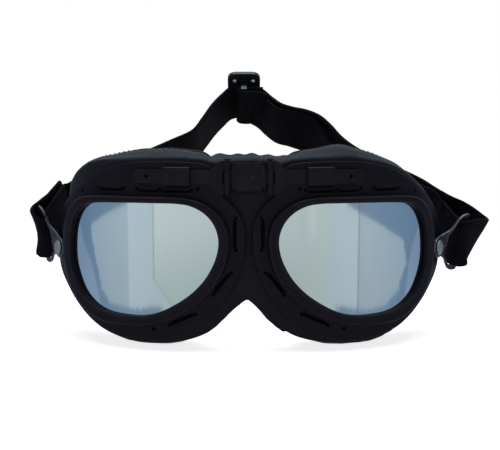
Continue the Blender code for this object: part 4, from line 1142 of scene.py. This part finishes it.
def rivet_skin(side, tag):
    """The temple rivet and its washer, turned from (radius, out) profiles."""
    sides = 72
    origin, normal, tangent = rivet_frame(side)

    def circle(radius, out):
        angles = [2 * math.pi * i / sides for i in range(sides)]
        return [origin + tangent * (radius * math.cos(angle))
                + VERTICAL * (radius * math.sin(angle)) + normal * out for angle in angles]

    front, rear = 4.3, -6.4             # ends on the axis
    profile = [(1.0, 4.27), (1.9, 4.15), (2.7, 3.93), (3.35, 3.6), (3.8, 3.2), (4.0, 2.9),
               (3.9, 2.76), (1.8, 2.75), (1.8, -4.8), (3.0, -4.8), (3.2, -5.0), (3.1, -5.5),
               (2.6, -6.0), (1.5, -6.3)]
    vertices = [origin + normal * front]
    for row in profile:
        vertices += circle(*row)
    last = len(vertices)
    vertices.append(origin + normal * rear)
    steps = [(i, (i + 1) % sides) for i in range(sides)]
    faces = [(0, 1 + i, 1 + j) for i, j in steps]
    for start in range(1, last - sides, sides):
        after = start + sides
        faces += [(start + i, after + i, after + j, start + j) for i, j in steps]
    faces += [(last - sides + i, last, last - sides + j) for i, j in steps]
    place_piece(solid("temple_rivet_" + tag, vertices, faces, RIVET), "frame_" + tag,
                "rivet_steel", "strap_rivet_" + tag)

    washer = [(2.1, 0.25), (4.45, 0.25), (4.6, 0.38), (4.6, 0.72), (4.45, 0.85), (2.25, 0.85),
              (2.1, 0.75)]
    points = np.stack([circle(*row) for row in washer], axis=1).reshape(-1, 3)
    ob = solid("spacer_washer_" + tag, points, grid_faces(sides, len(washer)), STEEL)
    place_piece(ob, "frame_" + tag, "dark_steel", "rivet_washer_" + tag)


# ---------------------------------------------------------------- the elastic strap
# One woven band runs from the right clip, through the slider, round the left clip and back
# along its own inner side to the slider.
WEB_WIDTH, WEB_THICKNESS = 25.4, 1.9
WEB_ROUND = 0.5
SLIDER_AT = (-2.9, 94.6, 44, 0.1)

# Stations: x, distance up the sloping hoop, lean in degrees, extra height.
RUN_RIGHT = [
    (-97.6, 18.0, 34, -0.6), (-83.0, 28.0, 40, 0.0), (-69.0, 36.6, 44, 0.0),
    (-55.0, 44.8, 45, 0.0), (-41.0, 53.0, 45, 0.0), (-30.5, 60.6, 46, 0.0),
    (-25.6, 70.0, 46, 0.0), (-20.2, 80.6, 44, 0.0), (-15.0, 88.0, 43, 0.0),
    (-10.8, 93.0, 44, 0.0), (-7.5, 94.3, 44, 0.1), SLIDER_AT, (1.8, 94.4, 43, 0.0)]
RUN_LEFT = [
    (5.4, 93.7, 42, -0.7), (8.8, 91.6, 42, -1.3), (12.6, 87.4, 42, -1.5),
    (18.2, 81.0, 43, -0.8), (24.4, 77.4, 45, 0.0), (32.0, 75.2, 45, 0.0),
    (38.8, 71.2, 45, 0.0), (44.6, 64.4, 45, 0.0), (50.6, 55.6, 45, -0.4),
    (58.0, 48.4, 45, -1.0), (66.0, 42.6, 45, -1.0), (78.0, 33.4, 43, -0.5),
    (91.0, 24.4, 39, -0.9), (100.0, 18.2, 36, -2.4)]
# The layer nearer the head is slack. From the second left station on: how far it hangs below
# the outer one, and how many degrees more upright it is.
SLACK = [
    (0.6, 5), (1.7, 5), (2.0, 6), (1.5, 10), (2.1, 13), (4.2, 14), (7.5, 14), (8.5, 13),
    (7.5, 11), (6.0, 8), (4.0, 5), (1.6, 2), (0.0, 0)]
# Folds round the clip bars: length from the rivet, lift, degrees turned, raise.
LOOP_RAISE = 0.3
LOOPS_ROUND_BAR = {
    -1: [(21.0, -15.1, 0, 5.85), (17.5, -9.9, 0, 4.35), (15.0, -4.6, 0, 2.2),
         (13.6, -1.2, 0, 0.8), (13.1, 1.6, 0, 0.1), (14.2, 3.95, 0, 0.4), (16.2, 4.2, 0, 1.1),
         (18.5, 2.4, -1, 2.2), (19.6, -3.0, 0, 4.0), (21.2, -8.8, 1, 5.0),
         (22.9, -12.6, 1, 5.8), (24.5, -16.4, 1, 6.7), (26.2, -20.4, 1, 7.6)],
    1: [(14.8, -20.1, 9.6, 2.9), (12.8, -13.6, 5.8, 2.4), (12.9, -7.8, 2, 1.4),
        (13.2, -2.6, 0, 0.6), (13.2, 1.6, 0, 0.1), (14.4, 4.4, 1.5, 0.2), (16.4, 5.6, 6, 1.1),
        (19.2, 5.4, 14, 2.6), (23.5, 4.35, 20.7, 3.7), (26.1, 1.65, 22.4, 4.35),
        (25.7, -3.8, 22.4, 4.8), (23.4, -10.2, 20.7, 5.3), (20.6, -16.3, 18.9, 5.4)]}
# Inner end round the slider's middle bar: x and distance toward the head from the slider
# station, drop down the band's width.
WRAP = [
    (9.5, 2.05, 0.1), (6.0, 2.05, -0.3), (2.4, 2.3, -0.6), (-0.9, 2.45, -0.9),
    (-2.75, 3.1, -1.1), (-3.25, 4.3, -1.2), (-2.75, 5.5, -1.2), (-0.9, 6.15, -1.2),
    (2.4, 6.15, -1.0), (6.5, 5.6, -0.6)]
# Pieces of the band in order: name, body or bodies, how far in from its ends a span
# starts and stops, nodes.
OUTER_PIECES = [
    ("strap_fold_right", "clip_right", None, ("strap_loop_right",)),
    ("strap_right_a", ("clip_right", "frame_right"), 0.22, ()),
    ("strap_right_b", ("frame_right", "leaf_right"), 0.3, ()),
    ("strap_right_c", ("leaf_right", "bridge"), 0.12, ()),
    ("strap_middle", "bridge", None, ("strap_main_band",)),
    ("strap_left_c", ("bridge", "leaf_left"), 0.12, ()),
    ("strap_left_b", ("leaf_left", "frame_left"), 0.3, ()),
    ("strap_left_a", ("frame_left", "clip_left"), 0.22, ()),
    ("strap_fold_left", "clip_left", None, ("strap_loop_left",))]
INNER_PIECES = [
    ("strap_end_wrap", "slider", None, ("strap_end_loop",)),
    ("strap_return_e", ("slider", "bridge"), 0.15, ()),
    ("strap_return_d", "bridge", None, ("strap_inner_band",)),
    ("strap_return_c", ("bridge", "leaf_left"), 0.12, ()),
    ("strap_return_b", ("leaf_left", "frame_left"), 0.3, ()),
    ("strap_return_a", ("frame_left", "clip_left"), 0.3, ())]


def lean_axis(degrees):
    """Width axis of a band that leans forward from upright."""
    angle = math.radians(degrees)
    return unit((0.0, -math.sin(angle), math.cos(angle)))


def hoop(x, distance, lean, raised):
    """Station on the hoop, which slopes up at 45 degrees to the rear: point and width axis."""
    slope = 0.7071 * distance
    return np.array([x, 60.0 + slope, -31.0 + slope + raised]), lean_axis(lean)


def sway(length, across, degrees):
    """A band point turned in the clip's own plane about the clip bar."""
    angle, beyond = math.radians(degrees), length - CLIP_BAR
    return (CLIP_BAR + beyond * math.cos(angle) + across * math.sin(angle),
            across * math.cos(angle) - beyond * math.sin(angle))


def loop_stations(side):
    place = clip_place(side)
    stations = []
    for length, lift, degrees, raised in LOOPS_ROUND_BAR[side]:
        across = LOOP_RAISE + raised
        point = place(*sway(length, across, degrees), lift)
        edge = place(*sway(length, across + 1.0, degrees), lift)
        stations.append((point, unit(edge - point)))
    return stations


def toward_head(direction, width):
    """Unit vector through the band's thickness, toward -Y."""
    across = unit(np.cross(direction, width))
    return across if across[1] < 0 else -across


def inner_stations(left_run):
    """The slack layer on the left, beside all but the first of the outer stations."""
    directions = np.gradient(np.array([point for point, _ in left_run]), axis=0)
    stations = []
    for i, (sag, upright) in enumerate(SLACK, start=1):
        point, width = left_run[i]
        gap = toward_head(unit(directions[i]), width) * (3.0 if i == 1 else 2.4)
        stations.append((point + gap - np.array([0, 0, sag]),
                         lean_axis(RUN_LEFT[i][2] - upright)))
    return stations


def wrap_stations():
    centre, width = hoop(*SLIDER_AT)
    across = np.array([1.0, 0, 0])
    inward = toward_head(across, width)
    return [(centre + across * x + inward * depth - width * drop, width)
            for x, depth, drop in WRAP]


def resample(stations, step=1.0):
    """Even stations on a smooth curve through the given ones: points, width axes, their
    lengths along the curve, and the length at each given station."""
    points = np.array([point for point, _ in stations])
    widths = np.array([width for _, width in stations])
    gaps = np.linalg.norm(np.diff(points, axis=0), axis=1)
    knots = np.concatenate([[0], np.cumsum(gaps)])
    lengths = np.linspace(0, knots[-1], int(knots[-1] / step) + 1)

    def hermite(values):
        spans = np.diff(knots)[:, None]
        slopes = np.diff(values, axis=0) / spans
        tangents = np.zeros_like(values)
        tangents[1:-1] = ((slopes[1:] * spans[:-1] + slopes[:-1] * spans[1:])
                          / (knots[2:] - knots[:-2])[:, None])
        tangents[0], tangents[-1] = slopes[0], slopes[-1]
        i = np.clip(np.searchsorted(knots, lengths, side="right") - 1, 0, len(knots) - 2)
        span = spans[i]
        u = (lengths - knots[i])[:, None] / span
        return ((2 * u ** 3 - 3 * u ** 2 + 1) * values[i]
                + (u ** 3 - 2 * u ** 2 + u) * span * tangents[i]
                + (-2 * u ** 3 + 3 * u ** 2) * values[i + 1]
                + (u ** 3 - u ** 2) * span * tangents[i + 1])

    points, widths = hermite(points), hermite(widths)
    for _ in range(3):                          # take the kinks out of the twist
        widths[1:-1] = 0.5 * widths[1:-1] + 0.25 * (widths[:-2] + widths[2:])
    widths /= np.linalg.norm(widths, axis=1)[:, None]
    return points, widths, lengths, knots


def band_axes(points, widths):
    """Width and thickness axes square to the band's direction."""
    ahead = np.gradient(points, axis=0)
    ahead /= np.linalg.norm(ahead, axis=1)[:, None]
    widths = widths - ahead * np.sum(widths * ahead, axis=1)[:, None]
    widths /= np.linalg.norm(widths, axis=1)[:, None]
    return widths, np.cross(ahead, widths)


def band_rows(points, widths, seed):
    """Rounded woven section at every station: points (n, k, 3) and UVs in millimetres."""
    widths, thicknesses = band_axes(points, widths)
    half, thick = WEB_WIDTH / 2, WEB_THICKNESS / 2
    flat = half - WEB_ROUND
    travelled = np.linalg.norm(np.diff(points, axis=0), axis=1)
    travelled = np.concatenate([[0], np.cumsum(travelled)])
    across = np.linspace(-flat, flat, 26)
    corner = np.radians([35, 70, 110, 145])
    profile = [(v, thick, v) for v in across]           # across, through, v of the UV
    profile += [(flat + WEB_ROUND * math.sin(a), thick * math.cos(a), flat + WEB_ROUND * a)
                for a in corner]
    profile += [(v, -thick, v + 60.0) for v in across[::-1]]
    profile += [(-flat - WEB_ROUND * math.sin(a), -thick * math.cos(a), -flat - WEB_ROUND * a)
                for a in corner]
    ripple = np.array([noise.noise(Vector((s * 0.035 + seed, 3.0 + seed, 0)))
                       for s in travelled])
    wave = np.array([[noise.noise(Vector((s * 0.05 + seed, v * 0.09, 9.0 + seed)))
                      for v in (-half, -half / 2, 0, half / 2, half)] for s in travelled])
    rows = np.zeros((len(points), len(profile), 3))
    uvs = np.zeros((len(points), len(profile), 2))
    for j, (v, through, v_uv) in enumerate(profile):
        position = (v / half * 0.5 + 0.5) * 4
        column = int(min(max(math.floor(position), 0), 3))
        share = position - column
        lift = (wave[:, column] * (1 - share) + wave[:, column + 1] * share) * 0.45
        lift = lift + through + 0.22 * (abs(v) / half) ** 4     # the edges curl a little
        stretched = v * (1.0 + 0.012 * ripple)
        rows[:, j] = points + widths * stretched[:, None] + thicknesses * lift[:, None]
        uvs[:, j, 0] = travelled
        uvs[:, j, 1] = v_uv
    return rows, uvs


def strap_piece(name, rows, uvs, capped, stitches):
    """One length of band, with its start closed if capped, and its stitches."""
    count, columns = rows.shape[:2]
    vertices = list(rows.reshape(-1, 3))
    faces = grid_faces(count, columns, wrap_rows=False)
    if capped:
        faces.append(tuple(range(columns)))
    band_count = len(vertices)
    for start, end in stitches:
        add_stitch(vertices, faces, start, end)
    extra = len(vertices) - band_count
    uvs = np.concatenate([uvs.reshape(-1, 2), np.zeros((extra, 2))])
    return solid(name, np.array(vertices), faces, WEB, uvs=uvs,
                 attributes={"stitch": [0.0] * band_count + [1.0] * extra})


def cut_band(rows, uvs, marks, pieces, stitches=()):
    """Cut a band at the marked stations; the first piece is capped and takes the stitches."""
    middles = rows.mean(axis=1)
    for i, (name, body, inset, nodes) in enumerate(pieces):
        start, end = marks[i], marks[i + 1]
        ob = strap_piece(name, rows[start:end + 1], uvs[start:end + 1], capped=i == 0,
                         stitches=stitches if i == 0 else ())
        span = None
        if inset is not None:
            gap = (middles[end] - middles[start]) * inset
            span = [tuple((middles[start] + gap) * MM), tuple((middles[end] - gap) * MM)]
        place_piece(ob, body, "webbing", *nodes, span=span)


def tail_stitches(points, widths):
    """Two rows of stitches across the sewn tail on the right."""
    half_row, count = 11.0, 12
    outward_normal = rivet_frame(-1)[1]
    widths, thicknesses = band_axes(points, widths)
    lift = WEB_THICKNESS / 2 + 0.12
    if thicknesses[2] @ outward_normal <= 0:
        lift = -lift
    return [[points[i] + widths[i] * (-half_row + 2 * half_row * step / count)
             + thicknesses[i] * lift for step in (q, q + 0.62)]
            for i in (2, 7) for q in range(count)]


def nearest(values, wanted):
    return int(np.argmin(np.abs(values - wanted)))


def build_strap():
    right, left = loop_stations(-1)[::-1], loop_stations(1)
    right_run = [hoop(*row) for row in RUN_RIGHT]
    left_run = [hoop(*row) for row in RUN_LEFT]
    wrap = wrap_stations()
    points, widths, lengths, knots = resample(right + right_run + left_run + left[::-1])
    inner_points, inner_widths, inner_lengths, inner_knots = resample(
        wrap + inner_stations(left_run) + left[:1])
    rows, uvs = band_rows(points, widths, seed=1.7)
    inner_rows, inner_uvs = band_rows(inner_points, inner_widths, seed=5.2)
    inner_uvs[:, :, 0] += 300.0

    run_first = len(right)                      # number of the first station of each run
    left_first = run_first + len(right_run)
    run_start, run_end = knots[run_first], knots[left_first + len(left_run) - 1]
    cuts = [knots[run_first - 1] - 3.0, run_start + 20.0, run_start + 36.0,
            knots[run_first + 8], knots[left_first + 3] + 3.0, run_end - 36.0, run_end - 20.0,
            run_end + 7.0]
    marks = [0] + [nearest(lengths, cut) for cut in cuts] + [len(lengths) - 1]
    cut_band(rows, uvs, marks, OUTER_PIECES, tail_stitches(points, widths))

    # the second layer on the left is cut in step with the first
    middles = inner_rows.mean(axis=1)
    beside = [int(np.argmin(np.linalg.norm(middles - rows[mark].mean(axis=0), axis=1)))
              for mark in marks[5:8]]
    inner_marks = [0, nearest(inner_lengths, inner_knots[len(wrap) - 1] + 2.0),
                   nearest(inner_lengths, inner_knots[len(wrap)] + 8.0), *beside,
                   len(inner_lengths) - 1]
    cut_band(inner_rows, inner_uvs, inner_marks, INNER_PIECES)


def trim_slider(ob):
    """Draw in the top and bottom of the slider along the band's width."""
    centre, width = hoop(*SLIDER_AT)
    points = np.zeros(len(ob.data.vertices) * 3, np.float32)
    ob.data.vertices.foreach_get("co", points)
    points = points.reshape(-1, 3)
    up = (points / MM - centre) @ width
    shift = np.clip(up - 9.5, 0, None) * 0.13 - np.clip(-12.0 - up, 0, None) * 0.55
    points -= (shift * MM)[:, None] * width[None, :].astype(np.float32)
    ob.data.vertices.foreach_set("co", points.ravel().astype(np.float32))
    ob.data.update()


# ---------------------------------------------------------------- put the goggles together
for side, tag in SIDES:
    for build in (plate_skin, rim_skin, lens_skin, rubber_and_retainer, rear_trim, face_pad,
                  clip_skin, rivet_skin):
        build(side, tag)
    refine("bridge_keeper_" + tag, "strip_keeper_" + tag, STEEL, "frame_" + tag, "frame_paint",
           width=0.22, segments=3)
    refine("hinge_leaf_" + tag, "hinge_strip_" + tag, STEEL, "leaf_" + tag, "dark_steel",
           width=0.16, segments=2)
    refine("hinge_pin_" + tag, "hinge_pin_fine_" + tag, STEEL, "bridge", "dark_steel",
           width=0.12, segments=2)
refine("bridge_plate", "bridge_plate_fine", STEEL, "bridge", "dark_steel", width=0.2, segments=3)
refine("bridge_rivet", "bridge_rivet_fine", EYELET, "bridge", "rivet_steel",
       width=0.15, segments=2)
bridge_lip()
trim_slider(refine("strap_slider", "slider_buckle", GLOSS, "slider", "gloss_slider",
                   width=0.55, segments=4))
build_mask()
build_strap()


# ---------------------------------------------------------------- camera and floor
def add_camera():
    """Camera in front, looking slightly down."""
    pitch, distance = math.radians(6.5), 480.0
    view = Vector((0, math.cos(pitch), -math.sin(pitch)))
    view_up = Vector((0, math.sin(pitch), math.cos(pitch)))
    target = Vector((0.6, 0, 0)) - 22.0 * view_up
    data = bpy.data.cameras.new("camera")
    data.lens, data.sensor_width = 74.3, 36.0
    data.clip_start, data.clip_end = 0.01, 100.0
    camera = bpy.data.objects.new("camera", data)
    scene.collection.objects.link(camera)
    camera.location = (target - distance * view) * MM
    camera.rotation_mode = "QUATERNION"
    camera.rotation_quaternion = view.to_track_quat("-Z", "Y")
    scene.camera = camera


def add_floor():
    """White floor that fades to plain glowing white away from the goggles."""
    half, gap = 12000.0, 0.4
    shade = new_shader("floor_white")
    colour = shade.ramp(shade.noise(shade.coords(), scale=3.0, detail=2),
                        [(0.3, (0.88, 0.88, 0.88)), (0.7, (0.90, 0.90, 0.90))])
    material = shade.principled({
        "Base Color": colour, "Roughness": 0.9, "Specular IOR Level": 0.1,
        "Emission Color": (1, 1, 1), "Emission Strength": 0.80})
    distance = shade.node("VectorMath", {0: shade.coords()}, operation="LENGTH")
    fade = shade.node("MapRange", {"From Min": 0.16, "From Max": 0.60,
                                   "Value": distance.outputs["Value"]},
                      interpolation_type="SMOOTHSTEP")
    glow = shade.node("Emission", {})
    mixed = shade.node("MixShader", {
        0: fade.outputs["Result"], 1: shade.nodes["Principled BSDF"].outputs[0],
        2: glow.outputs[0]})
    shade.fill(shade.nodes["Material Output"], {"Surface": mixed.outputs[0]})
    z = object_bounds()[0].z / MM - gap
    corners = [(-half, -half, z), (half, -half, z), (half, half, z), (-half, half, z)]
    floor = new_object("floor", corners, [(0, 1, 2, 3)], material, smooth=False)
    floor.visible_glossy = False


# ---------------------------------------------------------------- reflected panels
# A curved wall round the set. Edges are (z, angle in degrees from -Y), one list for each sign
# of x.
ROOM_RADIUS = 400.0
RAGGED_EDGE = {
    -1: [(-38, 62.6), (-48, 76.4), (-58, 88.3), (-65, 88.4), (-86, 85.9), (-100, 83.4),
         (-115, 81.9), (-131, 75.9), (-141, 58.7), (-149, 40.0)],
    1: [(-38, 46.5), (-48, 55.9), (-60, 71.0), (-72, 86.5), (-93, 88.7), (-107, 85.2),
        (-120, 82.7), (-134, 74.0), (-144, 56.9), (-150, 38.0)]}
LILAC_EDGE = {
    -1: [(-38, 99), (-62, 96.2), (-76, 93.4), (-95, 88.0), (-115, 84.6), (-132, 82.3),
         (-160, 80.0)],
    1: [(-38, 99), (-62, 97.0), (-76, 93.3), (-95, 90.5), (-115, 89.2), (-132, 87.0),
        (-160, 85.0)]}


def seen_colour(*display):
    """Panel light for an 8-bit sRGB colour seen in the lens, with the lens tint divided out."""
    colour = np.array(display, float) / 255
    colour = np.where(colour <= 0.04045, colour / 12.92, ((colour + 0.055) / 1.055) ** 2.4)
    return colour / np.array([0.70, 0.76, 0.78])


def layer(base, mask, colour):
    mask = np.clip(mask, 0, 1)[..., None]
    return base * (1 - mask) + colour * mask


def ragged(values, *waves):
    """Sum of noise waves given as (scale, y, z, strength)."""
    return np.array([sum(noise.noise(Vector((value * scale, y, z))) * strength
                         for scale, y, z, strength in waves) for value in values])


def panel_colours(angles, heights):
    """Panel colours, shape (angles, heights, 3)."""
    signed, z = np.meshgrid(angles, heights, indexing="ij")
    angle, minus = np.abs(signed), signed < 0
    plus = ~minus
    upper = smoothstep(-150, -40, z)

    def graded(low, high):
        return layer(seen_colour(*low), upper, seen_colour(*high))

    def edge_angle(edges):
        depth_angles = [np.array(edges[side], float).T for side in (-1, 1)]
        return np.where(minus, *(np.interp(-z, -at, value) for at, value in depth_angles))

    jag_z = ragged(heights, (0.21, 1.0, 4.0, 1.8), (0.6, 5.0, 4.0, 0.9))[None, :]
    jag_angle = ragged(angles, (0.5, 2.0, 1.0, 2.2), (1.5, 2.0, 7.0, 1.0))[:, None]
    joint_minus = np.where(z > -115.0, 45.8, 45.8 - (-115.0 - z) * 0.45)
    joint_plus = 55.5 + (z + 38.0) * 0.003
    nose_end = np.where(minus, joint_minus, 36.5 - (-38.0 - z) * 0.028)
    middle_end = np.where(minus, 62.5, joint_plus)
    panel_end = edge_angle(RAGGED_EDGE) + np.where(z < -60, jag_z, 0) * 0.7
    low_cut = -141.0 + jag_angle * 1.4
    surround = np.maximum(smoothstep(-0.3, 0.3, angle - panel_end),
                          smoothstep(1.2, -1.2, z - low_cut) * smoothstep(38, 44, angle))
    lilac = smoothstep(-1.0, 1.0, angle - edge_angle(LILAC_EDGE)) * (angle < 140)
    streak = bell(angle, 25.0 + (z + 60) * 0.04, 2.6) * smoothstep(-90, -55, z) * 0.5
    joint = seen_colour(96, 108, 112)
    rear = smoothstep(112, 135, angle)
    layers = [
        # the +X nose panel is a little greyer, with a soft bright streak
        (plus * smoothstep(8.0, 20.0, angle) * 0.55, seen_colour(166, 182, 184)),
        (plus * streak, seen_colour(190, 205, 208)),
        # middle and outer panels
        (smoothstep(-0.25, 0.25, angle - nose_end), graded((162, 180, 189), (169, 188, 199))),
        (smoothstep(-0.25, 0.25, angle - middle_end), graded((146, 164, 174), (154, 173, 185))),
        # darker blue surround beyond the ragged edge, then lilac
        (surround, seen_colour(108, 132, 154)),
        (lilac, seen_colour(131, 151, 172)),
        # the thin joints between panels
        (minus * bell(angle, joint_minus, 0.28) * 0.75, joint),
        (plus * bell(angle, joint_plus, 0.30) * 0.95, joint),
        # behind, overhead and far below: even and softer
        (rear, np.array([0.55, 0.60, 0.66])),
        (smoothstep(-20, 90, z) * (1 - rear), np.array([0.42, 0.45, 0.48])),
        (smoothstep(-165, -200, z), np.array([0.50, 0.53, 0.55]))]
    colours = graded((158, 176, 180), (184, 199, 205))
    for mask, colour in layers:
        colours = layer(colours, mask, colour)
    return colours


def pale_room():
    """A curved wall of soft panels round the set, seen only in reflections."""
    angles = np.arange(-180.0, 180.0, 0.25)
    heights = np.concatenate([np.arange(-420.0, -160.0, 12.0), np.arange(-160.0, -30.0, 1.5),
                              np.arange(-30.0, 700.0, 20.0)])
    turned, z = np.meshgrid(np.radians(angles), heights, indexing="ij")
    points = np.stack([ROOM_RADIUS * np.sin(turned), -ROOM_RADIUS * np.cos(turned), z], -1)
    shade = new_shader("panel_glow")
    shade.nodes.clear()
    glow = shade.node("Emission", {"Color": shade.attribute("glow", "Color")})
    shade.node("OutputMaterial", {"Surface": glow.outputs[0]})
    ob = new_object("soft_panels", points.reshape(-1, 3),
                    grid_faces(len(angles), len(heights), wrap_columns=False), shade.owner,
                    smooth=False)
    colours = np.clip(panel_colours(angles, heights), 0, 4).reshape(-1, 3)
    rgba = np.concatenate([colours, np.ones((len(colours), 1))], axis=1)
    attribute = ob.data.color_attributes.new("glow", "FLOAT_COLOR", "POINT")
    attribute.data.foreach_set("color", rgba.astype(np.float32).ravel())
    for kind in ("camera", "diffuse", "shadow", "transmission", "volume_scatter"):
        setattr(ob, "visible_" + kind, False)


# ---------------------------------------------------------------- world and lights
def add_world():
    """White to the camera, dim to everything else."""
    world = bpy.data.worlds.new("world")
    scene.world = world
    shade = Shader(world)
    to_camera = shade.node("LightPath", {}).outputs["Is Camera Ray"]
    colour = shade.mix(to_camera, (0.055, 0.055, 0.068), (1.0, 1.0, 1.0))
    shade.fill(shade.nodes["Background"], {"Color": colour})


def soft_light(name, at, size, power, colour=(1, 1, 1)):
    """Rectangular light aimed at the goggles."""
    aim = Vector((0, 0.02, -0.03))
    data = bpy.data.lights.new(name, "AREA")
    data.shape = "RECTANGLE"
    data.size, data.size_y = size
    data.energy = power
    data.color = colour
    ob = bpy.data.objects.new(name, data)
    ob.location = at
    ob.rotation_mode = "QUATERNION"
    ob.rotation_quaternion = (aim - Vector(at)).to_track_quat("-Z", "Y")
    scene.collection.objects.link(ob)


add_camera()
add_floor()
pale_room()
add_world()
soft_light("overhead", at=(0.0, 0.10, 0.75), size=(0.9, 0.7), power=7.3,
           colour=(0.72, 0.93, 1.04))
soft_light("front_left", at=(-0.7, -0.9, 0.45), size=(0.6, 0.6), power=0.25)
soft_light("front_right", at=(0.7, -0.9, 0.45), size=(0.6, 0.6), power=0.25)

scene.view_settings.view_transform = "Standard"
scene.view_settings.look = "None"
scene.view_settings.exposure = 0.0
scene.view_settings.gamma = 1.0
